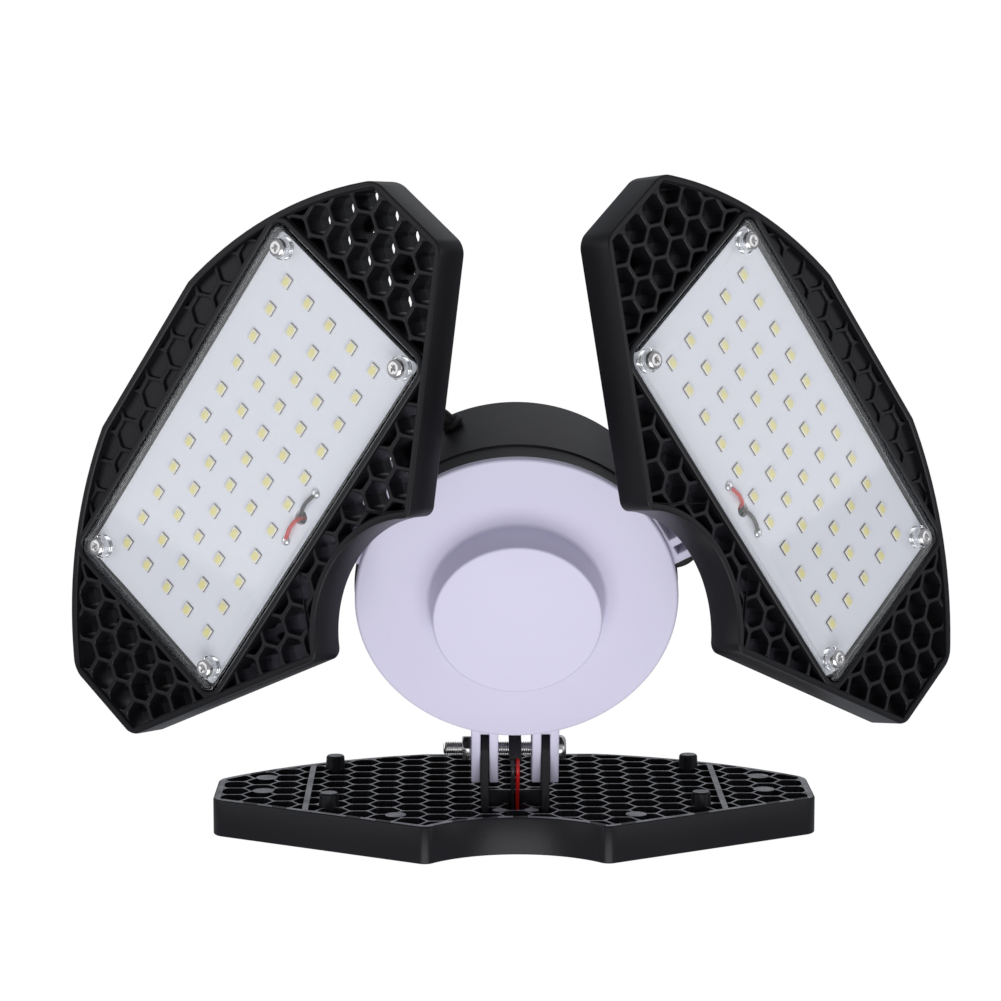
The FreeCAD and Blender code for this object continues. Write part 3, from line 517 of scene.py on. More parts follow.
def lathe(name, profile, segments, closed=True):
    """Turn (radius, z) points into a skin; closed joins the last ring to the first."""
    radius, z = profile[0]
    bpy.ops.mesh.primitive_circle_add(vertices=segments, radius=radius * MM,
                                      location=(0, 0, z * MM))
    piece = settle(fresh(name))
    edit(piece)
    bpy.ops.mesh.select_mode(type="EDGE")
    pick_all()
    for next_radius, next_z in profile[1:]:
        bpy.ops.mesh.extrude_edges_move()
        if abs(next_radius - radius) > SAME:
            grow(next_radius / radius, next_radius / radius, 1, (0, 0, z))
        if abs(next_z - z) > SAME:
            shift(0, 0, next_z - z)
        radius, z = next_radius, next_z
    pick_open_edges()
    if closed:
        bpy.ops.mesh.bridge_edge_loops()
    else:
        bpy.ops.mesh.edge_face_add()
        pick_open_edges()
        bpy.ops.mesh.edge_face_add()
    face_outward()
    return smooth(done(), 30)


def arc(centre, radius, start, end, steps):
    """Points on an arc between two angles in degrees."""
    angles = [math.radians(start + (end - start) * k / steps) for k in range(steps + 1)]
    return [(centre[0] + radius * math.cos(a), centre[1] + radius * math.sin(a)) for a in angles]


# %% [markdown]
# ## The cast panel
# One panel is modelled and copied twice, as three castings come from one die. Its outline
# is a third of a disc, trimmed by straight cuts and by the arc round the hub. Drawing it
# with cuts keeps every corner where two real edges meet.

# %% Sizes of a panel, in its own frame
OUTER_RADIUS = 130.0
OUTER_FLAT = 127.0
INNER_RADIUS = 35.0
TIP = 93.5
COS_30 = math.cos(math.radians(30))
SECTOR_OFFSET = 5.9 / COS_30
BACK, FRONT = 16.5, 28.0
RIB_FRONT, STRIP_FRONT = 27.0, 26.5
FLOOR_BACK, FLOOR_FRONT = 21.1, 23.1
STRIP_BACK = 24.5
RIM_WALL = 2.1
COVER_X, COVER_Y, COVER_MIDDLE = 126.0, 66.0, 20.2
COVER_GAP, POCKET_WALL = 0.4, 1.8
POCKET_X = COVER_X / 2 + COVER_GAP + POCKET_WALL
POCKET_Y = COVER_Y / 2 + COVER_GAP + POCKET_WALL
NEAR_WALL, FAR_WALL = COVER_MIDDLE - POCKET_Y, COVER_MIDDLE + POCKET_Y
WIRE_HOLE = -5.0


def box(name, low, high, corner=0.0):
    """A block between two corners, its upright edges rounded."""
    size = [h - l for l, h in zip(low, high)]
    middle = [(h + l) / 2 * MM for l, h in zip(low, high)]
    bpy.ops.mesh.primitive_cube_add(size=1, location=middle, scale=[s * MM for s in size])
    piece = settle(fresh(name))
    if corner:
        edit(piece)
        pick("EDGE", lambda c, d: abs(d.z) > 0.9 * size[2])
        bevel_picked(corner, 8)
        done()
    return piece


def rod(name, radius, start, end, sides=48):
    """A round bar between two points in millimetres."""
    a, b = Vector(start), Vector(end)
    bpy.ops.mesh.primitive_cylinder_add(vertices=sides, radius=radius * MM,
                                        depth=(b - a).length * MM, location=(a + b) / 2 * MM)
    piece = fresh(name)
    piece.rotation_euler = (b - a).to_track_quat("Z", "Y").to_euler()
    return settle(piece)


def outline_solid(name, low, high):
    """The panel's outline as a plain solid between two levels."""
    bpy.ops.mesh.primitive_circle_add(vertices=180, radius=OUTER_RADIUS * MM, fill_type="NGON",
                                      location=(0, -HINGE_RADIUS * MM, low * MM))
    piece = settle(fresh(name))
    edit(piece)
    cuts = [((0, OUTER_FLAT - HINGE_RADIUS, 0), (0, 1, 0))]
    for side in (-1, 1):
        cuts.append(((side * TIP, 0, 0), (side, 0, 0)))
        cuts.append(((0, SECTOR_OFFSET - HINGE_RADIUS, 0), (side * 0.5, -COS_30, 0)))
    for point, normal in cuts:
        pick_all()
        bpy.ops.mesh.bisect(plane_co=[c * MM for c in point], plane_no=normal, clear_outer=True)
    pick_all()
    pull(0, 0, high - low)
    face_outward()
    done()
    carve(piece, rod("hub_side", INNER_RADIUS, (0, -HINGE_RADIUS, low - 1),
                     (0, -HINGE_RADIUS, high + 1), 240))
    edit(piece)
    bpy.ops.mesh.remove_doubles(threshold=0.3 * MM)
    return done()


def pick_upright(test):
    """Select the upright edges whose middle passes the test."""
    pick("EDGE", lambda c, d: abs(d.z) > 1 and test(c))


def on_hub_arc(c):
    return abs(math.hypot(c.x, c.y + HINGE_RADIUS) - INNER_RADIUS) < 0.3


def drawn_in(source, name, margin, low, high, chamfer=0.0):
    """The solid over the source's outline, drawn in by a margin, with a chamfer at the front."""
    piece = copy_of(source, name)
    edit(piece)
    pick("FACE", lambda c, n: n.z > 0.9)
    bpy.ops.mesh.inset(thickness=(margin - chamfer) * MM, use_even_offset=True)
    bpy.ops.mesh.select_all(action="INVERT")
    bpy.ops.mesh.delete(type="FACE")
    pick_all()
    if not chamfer:
        shift(0, 0, low - FRONT)
    pull(0, 0, high - (FRONT if chamfer else low))
    face_outward()
    if chamfer:
        pick("FACE", lambda c, n: n.z < -0.9)
        bpy.ops.mesh.inset(thickness=chamfer * MM, depth=chamfer * MM, use_even_offset=True)
        pull(0, 0, low - FRONT + chamfer)
    return done()


def flared_box(name, low, high, corner, flare):
    """A block whose section changes by a small flare just below the casting's front."""
    size = abs(flare)
    piece = box(name, low, (high[0], high[1], FRONT - size), corner)
    wide, deep = high[0] - low[0], high[1] - low[1]
    centre = ((low[0] + high[0]) / 2, (low[1] + high[1]) / 2, 0)
    edit(piece)
    pick("FACE", lambda c, n: n.z > 0.9)
    pull(0, 0, size)
    grow((wide + 2 * flare) / wide, (deep + 2 * flare) / deep, 1, centre)
    pull(0, 0, high[2] - FRONT)
    return done()


plain = outline_solid("panel_outline", BACK, FRONT)
print("outline corners:", len(plain.data.vertices) // 2)

# %% [markdown]
# ## Rim, step and pocket
# The face of the casting is stepped: the rim and the frame round the LED board stand proud,
# the honeycomb lies a millimetre lower and the outer strip half a millimetre below that.
# The edges are rounded now, while the mesh is simple, because the honeycomb's own edges get
# their rounding from the cutters. The arc round the hub loses its last corners first, which
# leaves room to round the corner where it meets the flank.

# %% Step the face and sink the pocket
CHAMFER = 0.35
HUB_CORNER = 26.8
casting = copy_of(plain, "heat_sink")
edit(casting)
pick_upright(lambda c: on_hub_arc(c) and 24.4 < abs(c.x) < HUB_CORNER)
bpy.ops.mesh.dissolve_edges(use_verts=True)
pick_upright(lambda c: abs(abs(c.x) - TIP) < 0.3)
bevel_picked(3.0, 6)
pick_upright(lambda c: on_hub_arc(c) and HUB_CORNER < abs(c.x) < 28)
bevel_picked(2.6, 6)
done()
round_edges(casting, 0.5, 3, 50)
crossed(casting)
frame_block = flared_box("frame", (-POCKET_X, NEAR_WALL, RIB_FRONT - 2),
                         (POCKET_X, FAR_WALL, FRONT + 2), 6.2, -CHAMFER)
step = crossed(drawn_in(plain, "step", RIM_WALL, RIB_FRONT, FRONT + 1, CHAMFER))
carve(step, copy_of(frame_block, "frame_cut"))
carve(casting, step)
strip = crossed(drawn_in(plain, "strip", RIM_WALL + 0.15, STRIP_FRONT, RIB_FRONT + 0.5))
far_side = box("far_side", (-POCKET_X, FAR_WALL - 8, BACK), (POCKET_X, OUTER_RADIUS, FRONT + 2))
carve(strip, far_side, "INTERSECT")
carve(strip, frame_block)
carve(casting, strip)
pocket = flared_box("pocket", (-COVER_X / 2 - COVER_GAP, NEAR_WALL + POCKET_WALL, FLOOR_FRONT),
                    (COVER_X / 2 + COVER_GAP, FAR_WALL - POCKET_WALL, FRONT + 1), 4.4, CHAMFER)
carve(casting, crossed(pocket))
print("stepped casting:", len(casting.data.polygons), "faces")

# %% [markdown]
# ## Honeycomb cutters
# A cell is a hexagon with softened corners that flares at its mouth, so that the rib between
# two cells ends in a round edge like the real lacquered casting. One cutter is turned up by
# extruding a ring, then copied over the panel in staggered columns, and the whole block of
# cutters is trimmed by walls that stay.

# %% A cell cutter and a field of them
PITCH = 9.2
CELL = 7.8
MOUTH = 0.46
OVERHANG = -2.2


def cell_cutter(name, levels):
    """A six-sided plug from (width across flats, z) levels, two flats parallel to the hinge."""
    points = [(across / math.sqrt(3), z) for across, z in levels]
    plug = lathe(name, points, segments=6, closed=False)
    put(plug, turned(30))
    edit(plug)
    pick("EDGE", lambda c, d: abs(d.z) > 0.01)
    bevel_picked(0.55, 1)
    return done()


def mouth(z):
    """Levels of a rounded mouth at z, from just outside the surface to the straight part."""
    levels = [(CELL + 2 * MOUTH, z + 0.4)]
    for angle in (90, 60, 30, 0):
        spread = MOUTH * (1 - math.cos(math.radians(angle)))
        depth = MOUTH * (1 - math.sin(math.radians(angle)))
        levels.append((CELL + 2 * spread, z - depth))
    return levels


def room_inside(x, y):
    """How far a point lies inside the panel's outline; negative outside."""
    r = math.hypot(x, y + HINGE_RADIUS)
    sector = (y + HINGE_RADIUS - SECTOR_OFFSET) * COS_30 - abs(x) * 0.5
    return min(OUTER_RADIUS - r, r - INNER_RADIUS, OUTER_FLAT - HINGE_RADIUS - y,
               TIP - abs(x), sector)


def field(name, plug, wanted):
    """Copies of a cutter at every honeycomb centre that is wanted, joined in one mesh.

    Cells may hang over the outline by a little, because walls trim them afterwards."""
    plugs = []
    for i in range(-12, 13):
        for j in range(-6, 10):
            x = i * PITCH * math.sqrt(3) / 2
            y = (j + 0.5 * (i % 2)) * PITCH
            if room_inside(x, y) > OVERHANG and wanted(x, y):
                twin = copy_of(plug, name)
                twin.location = (x * MM, y * MM, 0)
                plugs.append(twin)
    bpy.data.objects.remove(plug)
    count = len(plugs)
    piece = settle(join(plugs, name))
    print(name, "has", count, "cells")
    return piece


def in_pocket(x, y, margin):
    return abs(x) < POCKET_X + margin and NEAR_WALL - margin < y < FAR_WALL + margin


def trim(cells, margin, low, high, keep=None, keep_out=None, ribs=True):
    """Leave of the cells what lies inside the rim, beside the straight ribs and in a box."""
    walls = crossed(drawn_in(plain, "walls", RIM_WALL + margin, low, high))
    if keep:
        carve(walls, box("keep", *keep), "INTERSECT")
    if keep_out:
        carve(walls, box("keep_out", *keep_out))
    for x in (-RIB_X, RIB_X) if ribs else ():
        carve(walls, box("rib", (x - HALF_RIB, -OUTER_RADIUS, BACK - 2),
                         (x + HALF_RIB, OUTER_RADIUS, FRONT + 2)))
    carve(cells, walls, "INTERSECT")


# %% Cells cut from the back
HALF_RIB = 0.9
RIB_X = POCKET_X - POCKET_WALL / 2
STRIP_X = RIB_X - HALF_RIB
back_plug = cell_cutter("back_plug", [(8.5, BACK - 0.4), (8.5, BACK + 0.2),
                                      (CELL - 0.1, FLOOR_BACK)])
back_cells = field("back_cells", back_plug, lambda x, y: True)
trim(back_cells, 0.2, BACK - 1, FLOOR_BACK + 1)

# %% Deeper cells behind the outer strip
strip_plug = cell_cutter("strip_plug", [(CELL - 0.15, FLOOR_BACK - 0.3), (CELL - 0.3, STRIP_BACK)])
strip_cells = field("strip_cells", strip_plug,
                    lambda x, y: abs(x) < RIB_X + 3 and y > FAR_WALL - 3)
trim(strip_cells, 0.2, FLOOR_BACK - 1, STRIP_BACK + 1, ribs=False,
     keep=((-STRIP_X, FAR_WALL + 0.2, BACK), (STRIP_X, OUTER_RADIUS, FRONT)))

# %% Cells cut from the front, open at the ends and beside the hinge, shallow on the strip
front_plug = cell_cutter("front_plug", [(CELL - 0.15, FLOOR_BACK - 0.2)] + mouth(RIB_FRONT)[::-1])
front_cells = field("front_cells", front_plug,
                    lambda x, y: not in_pocket(x, y, -3)
                    and not (abs(x) < POCKET_X - 3 and y > FAR_WALL - 3))
trim(front_cells, 0.25, FLOOR_BACK - 1, FRONT + 1,
     keep_out=((-POCKET_X - 0.25, NEAR_WALL - 0.25, BACK),
               (POCKET_X + 0.25, OUTER_RADIUS, FRONT + 2)))
relief_plug = cell_cutter("relief_plug",
                          [(CELL - 0.2, STRIP_BACK + 1.0)] + mouth(STRIP_FRONT)[::-1])
relief_cells = field("relief_cells", relief_plug,
                     lambda x, y: abs(x) < POCKET_X + 3 and y > FAR_WALL - 3)
trim(relief_cells, 0.25, STRIP_BACK, FRONT + 1, ribs=False,
     keep=((-STRIP_X, FAR_WALL + 0.25, BACK), (STRIP_X, OUTER_RADIUS, FRONT + 2)))

# %% [markdown]
# ## Pads, posts and ears
# Round pads on the back are probably where the die's pins push the casting out. They are thin
# discs over the cells. Four posts take the cover's screws. Two ears straddle the hub's ears, and a
# low wall joins them beside the hole for the wires.

# %% Cut all cells between the lands beside the ears, then add pads and posts
PADS = [(78.5, 33.0, 3.4), (78.5, 14.0, 3.4), (36.5, -19.5, 3.2), (4.9, -13.6, 2.2)]
LAND_X = 11.6
for x in (-LAND_X, LAND_X):
    carve(casting, box("land", (x - 1.6, -13.5, BACK - 0.1), (x + 1.6, 12.5, FLOOR_BACK)), "UNION")
for cells in (back_cells, strip_cells, front_cells, relief_cells):
    carve(casting, cells)
for pad_x, y, radius in PADS:
    for x in (-pad_x, pad_x):
        carve(casting, rod("pad", radius, (x, y, BACK - 0.12), (x, y, BACK + 2), 40), "UNION")
print("casting with its honeycomb:", len(casting.data.polygons), "faces")
POST_X, POST_Y = COVER_X / 2 - 5.9, COVER_Y / 2 - 5.9
SCREW_PLACES = [(x, COVER_MIDDLE + y) for x in (-POST_X, POST_X) for y in (-POST_Y, POST_Y)]
for x, y in SCREW_PLACES:
    post = lathe("post", [(3.6, FLOOR_BACK + 1), (3.15, BACK), (2.9, 12.75), (2.5, 12.3)], 40,
                 closed=False)
    carve(casting, put(post, moved(x, y, 0)), "UNION")


def ear_plate(radius, near, far, middle, root_reach, turn, root_share=1.0, cut=None):
    """A plate between two x planes, round about the bolt and straight towards its root."""
    bpy.ops.mesh.primitive_circle_add(vertices=96, radius=radius * MM, fill_type="NGON")
    piece = fresh("ear")
    edit(piece)
    pick("VERT", lambda c: c.y > 0.01)
    grow(root_share, 0, 1, (0, root_reach, 0))
    pick_all()
    bpy.ops.mesh.dissolve_limited(angle_limit=math.radians(1))
    if cut:
        pick_all()
        bpy.ops.mesh.bisect(plane_co=[c * MM for c in cut[0]], plane_no=cut[1], clear_outer=True)
    pick_all()
    pull(0, 0, far - near)
    face_outward()
    done()
    return put(piece, moved(near, *middle) @ turn)


# %% Ears, wall and wire hole, then the back faces with their painted sheen
# The plate is drawn flat, with its thickness along z and its root towards +y. This turn sets
# the thickness along the hinge and the root towards the front.
EAR_TURN = Matrix(((0, 0, 1), (1, 0, 0), (0, 1, 0))).to_4x4()
EAR_RADIUS, BOLT_BORE = 8.2, 2.07


def panel_ear(side):
    """One of the panel's ears: a tapering plate with a round end about the bolt."""
    near, far = sorted((side * 8.1, side * 10.5))
    ear = ear_plate(EAR_RADIUS, near, far, (0, 0), FLOOR_BACK + 0.5, EAR_TURN, 11.2 / EAR_RADIUS)
    round_edges(ear, 0.3, 3, 50)
    return carve(ear, rod("bore", BOLT_BORE, (near - 1, 0, 0), (far + 1, 0, 0), 40))


for side in (-1, 1):
    carve(casting, panel_ear(side), "UNION")
wall = box("wall", (-8.6, WIRE_HOLE + 1.6, BACK - 4), (8.6, WIRE_HOLE + 3.1, FLOOR_BACK + 0.5))
round_edges(wall, 0.3, 2)
carve(casting, wall, "UNION")
carve(casting, rod("wire_hole", 2.1, (0, WIRE_HOLE, BACK - 3), (0, WIRE_HOLE, FLOOR_FRONT + 1), 40))
smooth(casting, 38)
casting.data.materials.clear()
for material in (black_cast, back_face_sheen):
    casting.data.materials.append(material)
# The back faces of the ribs and pads take the pale grey, which paints the sheen of the lacquer seen
# at a grazing angle.
for face in casting.data.polygons:
    x, y, z = face.center / MM
    on_top = face.normal.z < -0.99 and z < BACK + 0.02
    face.material_index = int(on_top and room_inside(x, y) > RIM_WALL - 0.4)
print("finished casting:", len(casting.data.polygons), "faces")

# %% [markdown]
# ## LED board
# The board is an aluminium plate under white solder mask. It has rounded corners, four holes
# for the cover's screws and one for the wires. The row of letters that a maker prints there
# is left off, because the part carries no names.

# %% Board
BOARD_FRONT = FLOOR_FRONT + 1.6
BOARD_GAP = 1.8
BOARD_X, BOARD_Y = COVER_X / 2 - BOARD_GAP, COVER_Y / 2 - BOARD_GAP
board = box("led_board", (-BOARD_X, COVER_MIDDLE - BOARD_Y, FLOOR_FRONT),
            (BOARD_X, COVER_MIDDLE + BOARD_Y, BOARD_FRONT), 2.6)
for x, y, radius, sides in [(x, y, 1.65, 32) for x, y in SCREW_PLACES] + [(0, WIRE_HOLE, 2.15, 40)]:
    carve(board, rod("hole", radius, (x, y, FLOOR_FRONT - 1), (x, y, BOARD_FRONT + 1), sides))
round_edges(board, 0.12, 1, 50)
smooth(board, 30)

# %% LEDs: a ceramic body, its yellow phosphor window and a dark plate under it that paints the shade along the body's sides
LED_PITCH, LED_MIDDLE = 10.0, COVER_MIDDLE + 0.5
led = box("led_body", (-1.75, -1.4, BOARD_FRONT), (1.75, 1.4, BOARD_FRONT + 0.66))
round_edges(led, 0.12, 1)
window = lathe("phosphor", [(1.16, BOARD_FRONT + 0.5), (1.14, BOARD_FRONT + 0.70),
                            (0.7, BOARD_FRONT + 0.74)], 18, closed=False)
edit(window)
grow(1.22, 1, 1)
done()
# The plate stands out a little round the body, so a thin dark rim of painted shade shows along its
# sides.
foot = box("led_foot", (-1.8, -1.45, BOARD_FRONT), (1.8, 1.45, BOARD_FRONT + 0.42))
fields = []
for source, name in ((led, "led_bodies"), (window, "led_windows"), (foot, "led_feet")):
    copies = []
    for i in range(11):
        for j in range(5):
            twin = copy_of(source, name)
            twin.matrix_world = moved((i - 5) * LED_PITCH, LED_MIDDLE + (j - 2) * LED_PITCH, 0)
            copies.append(twin)
    fields.append(settle(join(copies, name)))
    bpy.data.objects.remove(source)
leds, windows, feet = fields
smooth(leds, 30)
smooth(windows, 40)
print("LED field:", len(leds.data.polygons) + len(windows.data.polygons), "faces")

# %% [markdown]
# ## Clear cover
# The cover is an injection-moulded tray with rounded edges, 1.3 mm thick, with a hollow
# boss that stands on the board round each screw. Inside and outside both get rounded
# edges, because the bright double line along a clear edge comes from the two radii.


# %% Cover
def tray_block(name, margin, top, radius, edge):
    wide, deep = COVER_X / 2 - margin, COVER_Y / 2 - margin
    block = box(name, (-wide, COVER_MIDDLE - deep, FLOOR_FRONT + 0.01),
                (wide, COVER_MIDDLE + deep, top), radius)
    edit(block)
    pick("EDGE", lambda c, d: c.z > top - 0.01)
    bevel_picked(edge, 5)
    return done()


COVER_WALL = 1.3
cover = tray_block("clear_cover", 0, FRONT, 4.0, 1.1)
hollow = tray_block("hollow", COVER_WALL, FRONT - COVER_WALL, 4.0 - COVER_WALL, 0.5)
edit(hollow)
pick("FACE", lambda c, n: n.z < -0.9)
shift(0, 0, -1)
done()
carve(cover, hollow)
for x, y in SCREW_PLACES:
    boss = lathe("boss", [(3.3, BOARD_FRONT + 0.02), (3.5, BOARD_FRONT + 0.3),
                          (3.5, FRONT - 0.8)], 40, closed=False)
    carve(cover, put(boss, moved(x, y, 0)), "UNION")
for x, y in SCREW_PLACES:
    passage = lathe("passage", [(1.65, FLOOR_FRONT), (1.65, FRONT - 0.3), (1.95, FRONT + 0.01),
                                (1.95, FRONT + 1)], 40, closed=False)
    carve(cover, put(passage, moved(x, y, 0)))
smooth(cover, 35)
print("cover:", len(cover.data.polygons), "faces")

# %% [markdown]
# ## Screws
# Each cover is held by four plated pan-head screws with a cross recess. The recess is cut by
# two crossed wedges, narrower at the bottom, as the driver bit is.


# %% Pan-head screw with a cross recess, its head's underside at z = 0
def cross_recess(size, depth, top):
    """Two crossed tapering blades that cut the recess."""
    blades = []
    for turn in (0, 90):
        blade = box("blade", (-size, -0.33, top - depth), (size, 0.33, top + 1))
        edit(blade)
        pick("VERT", lambda c: c.z < top)
        grow(0.35, 0.75, 1, (0, 0, top))
        done()
        blades.append(put(blade, turned(turn)))
    return carve(blades[0], blades[1], "UNION")


def pan_screw(name, radius, height, shank, length, recess):
    points = [(shank, -length), (shank, 0), (radius, 0), (radius, height * 0.30)]
    points += [(radius * (0.55 + 0.45 * x), height * (0.30 + 0.70 * y))
               for x, y in arc((0, 0), 1, 15, 90, 5)]
    screw = lathe(name, points, 40, closed=False)
    carve(screw, cross_recess(recess, height * 0.75, height))
    round_edges(screw, 0.06, 2, 50)
    return smooth(screw, 40)


model_screw = pan_screw("cover_screw", 2.8, 1.9, 1.5, 14.0, 1.55)
cover_screws = []
for index, (x, y) in enumerate(SCREW_PLACES):
    twin = copy_of(model_screw, "cover_screw_copy")
    cover_screws.append(put(twin, moved(x, y, FRONT) @ turned(17 + 38 * index)))
cover_screws = join(cover_screws, "cover_screws")
bpy.data.objects.remove(model_screw)
print("screws:", len(cover_screws.data.polygons), "faces")

# %% Solder: a domed bead at the end of each lead
beads = []
for side in (-1, 1):
    bpy.ops.mesh.primitive_uv_sphere_add(segments=28, ring_count=14, radius=1.5 * MM)
    bead = bpy.context.object
    bead.scale = (1.0, 1.0, 0.75)
    settle(bead)
    edit(bead)
    bpy.ops.mesh.bisect(plane_co=(0, 0, 0), plane_no=(0, 0, -1), clear_outer=True, use_fill=True)
    done()
    beads.append(put(bead, moved(side * 9.0, WIRE_HOLE, BOARD_FRONT + 0.01)))
beads = join(beads, "solder_beads")
smooth(beads, 50)

# %% [markdown]
# ## Set down the three panels
# Everything made so far stands in the panel's own frame. Each piece is now copied, carried to
# its hinge at that panel's fold and tied to the panel's body, so that it moves with the joint.

# %% Copy, place, dress
PANEL_PIECES = [
    (casting, "heat_sink", None, "heat_sink", "black_cast"),
    (board, "led_board", board_mask, "led_board", "led_board"),
    (leds, "led_bodies", led_body, "led_chips", "led_body"),
    (windows, "led_windows", phosphor, "led_chips", "led_body"),
    # The dark plates round the LEDs are painted shade.
    (feet, "led_feet", led_foot, "led_chips", "led_body"),
    (cover, "clear_cover", clear, "clear_cover", "clear_cover"),
    (cover_screws, "cover_screws", steel, "cover_screws", "steel_fastener"),
    (beads, "solder_beads", solder_metal, "solder_joints", "solder")]
for panel in PANEL_NAMES:
    for source, label, material, node, slot in PANEL_PIECES:
        piece = put(copy_of(source, panel + "_" + label + "_look"), panel_place[panel])
        dress(piece, material, panel + "_panel", panel + "_" + node)
for source in [row[0] for row in PANEL_PIECES]:
    bpy.data.objects.remove(source)
bpy.data.objects.remove(plain)
print("panels set down:", ", ".join(PANEL_NAMES))

# %% [markdown]
# ## Housing and cap
# The driver sits in a black moulded can. Its wall tapers to the back and carries a thin
# ridge above the lip. The white cap is dished round a raised disc, and the radius at the foot
# of the disc gives the face its grey band.

# %% Driver housing
BACK_Z = -29.5
FRONT_Z = RIM_Z + 1.8
EXIT_Z, EXIT_ANGLE = RIM_Z + 31.0, 36
housing = lathe("driver_housing_look", [
    (12, BACK_Z), (44.9, BACK_Z), (45.6, BACK_Z - 0.25), (46.05, BACK_Z - 0.75),
    (46.2, BACK_Z - 1.4), (47.4, -60.3), (47.95, -60.55), (48.3, -60.85), (48.4, -61.2),
    (48.25, -61.6), (47.95, -61.9), (47.9, -62.4), (47.9, FRONT_Z), (45.7, FRONT_Z),
    (44.0, BACK_Z - 2.5), (12, BACK_Z - 2.5)], 240)
for panel in PANEL_NAMES:
    window = box("window", (-13.6, 41.6, FRONT_Z - 3), (13.6, 54, RIM_Z + 20.2))
    carve(housing, put(window, hinge_place[panel]))
    carve(housing, put(rod("cable_hole", 2.8, (0, 40, EXIT_Z), (0, 50, EXIT_Z), 40),
                       hinge_place[panel] @ turned(EXIT_ANGLE)))
smooth(housing, 32)
dress(housing, black_plastic, "hub", "driver_housing")

# %% Cap
cap_points = [(0.5, RIM_Z - 9.4), (23.2, RIM_Z - 9.4), (24.1, FRONT_Z), (48.1, FRONT_Z),
              (48.1, RIM_Z + 0.9)]
cap_points += arc((47.2, RIM_Z + 0.9), 0.9, -18, -90, 4)
cap_points += arc((27.2, RIM_Z - 1.3), 1.3, 90, 174, 10)
cap_points += arc((24.25, RIM_Z - 10.4), 0.8, 0, -90, 6)
cap_points.append((0.5, RIM_Z - 11.2))
cap = lathe("front_cap_look", cap_points, 240, closed=False)
smooth(cap, 40)
dress(cap, white_cast, "hub", "front_cap")
print("housing and cap:", len(housing.data.polygons) + len(cap.data.polygons), "faces")

# %% [markdown]
# ## Hinge ring
# A die-cast ring behind the cap carries three blocks with four ears each. The ears are thick
# plates with a round end about the bolt. Their edges are rounded before they join the ring.

# %% Ring, blocks and ears
HUB_EAR_TURN = Matrix(((0, 0, 1), (0, -1, 0), (1, 0, 0))).to_4x4()
BLOCK_X, BLOCK_Y = 13.4, 41.6
HUB_EARS, EAR_THICKNESS = (-13.4, -7.95, 5.2, 10.65), 2.75
RING_RADIUS = 44.6
ring = lathe("hinge_ring_look", [(29, FRONT_Z), (RING_RADIUS, FRONT_Z),
                                 (RING_RADIUS, FRONT_Z + 4.2), (29, FRONT_Z + 4.2)], 160)
for panel in PANEL_NAMES:
    block = box("block", (-BLOCK_X, BLOCK_Y, FRONT_Z), (BLOCK_X, 48.8, RIM_Z + 20))
    round_edges(block, 0.6, 3)
    for inner in HUB_EARS:
        ear = ear_plate(10.7, inner, inner + EAR_THICKNESS, (HINGE_RADIUS, HINGE_Z),
                        HINGE_RADIUS - RING_RADIUS, HUB_EAR_TURN,
                        cut=((FRONT_Z - HINGE_Z, 0, 0), (-1, 0, 0)))
        carve(block, round_edges(ear, 0.45, 4, 50), "UNION")
    carve(block, rod("bore", BOLT_BORE, (-15, HINGE_RADIUS, HINGE_Z), (15, HINGE_RADIUS, HINGE_Z)))
    carve(ring, put(block, hinge_place[panel]), "UNION")
for azimuth in (30, 150, 270):
    turn = turned(azimuth - 90)
    carve(ring, put(rod("sink", 3.1, (0, 38, FRONT_Z - 1), (0, 38, FRONT_Z + 2), 32), turn))
    carve(ring, put(rod("hole", 1.65, (0, 38, FRONT_Z), (0, 38, FRONT_Z + 5), 32), turn))
    standoff = rod("standoff", 2.6, (0, 31.5, FRONT_Z + 3), (0, 31.5, FRONT_Z + 10.2), 24)
    carve(ring, put(standoff, turn), "UNION")
smooth(ring, 35)
dress(ring, white_cast, "hub", "hinge_ring")
print("hinge ring:", len(ring.data.polygons), "faces")

# %% [markdown]
# ## Bolts and nuts
# Each hinge turns on an M4 bolt, threaded along its whole length, with a tight nut at the
# other end. The thread is one V-shaped tooth wound up by the Screw modifier.


# %% Threaded shank along +Z
def thread(name, radius, pitch, depth, low, high):
    """A V thread between two levels, as a skin wound up round the z axis."""
    bpy.ops.mesh.primitive_plane_add(size=1)
    piece = fresh(name)
    edit(piece)
    bpy.ops.mesh.delete(type="VERT")
    mesh = bmesh.from_edit_mesh(piece.data)
    marks = [(radius - depth, 0.0), (radius, 0.42), (radius, 0.58), (radius - depth, 1.0)]
    verts = [mesh.verts.new((r * MM, 0, (low + share * pitch) * MM)) for r, share in marks]
    for a, b in zip(verts, verts[1:]):
        mesh.edges.new((a, b))
    bmesh.update_edit_mesh(piece.data)
    done()
    modify(piece, "SCREW", screw_offset=pitch * MM, iterations=int((high - low) / pitch) - 1,
           steps=20, render_steps=20, use_merge_vertices=True, merge_threshold=0.01 * MM)
    edit(piece)
    bpy.ops.mesh.remove_doubles(threshold=0.01 * MM)
    bpy.ops.mesh.select_mode(type="EDGE")
    pick_open_edges()
    bpy.ops.mesh.edge_face_add()
    face_outward()
    return smooth(done(), 40)


bolt_head = pan_screw("bolt_head", 3.9, 2.4, 1.6, 34.5, 2.2)
bolt_thread = thread("bolt_thread", 2.0, 0.7, 0.42, -35.3, -0.4)
bolt_tip = lathe("bolt_tip", [(1.62, -35.2), (1.2, -35.4), (0.3, -35.4)], 32, closed=False)
bolt = join([bolt_head, bolt_thread, bolt_tip], "hinge_bolt")
put(bolt, moved(BLOCK_X, HINGE_RADIUS, HINGE_Z) @ turned(90, "Y"))

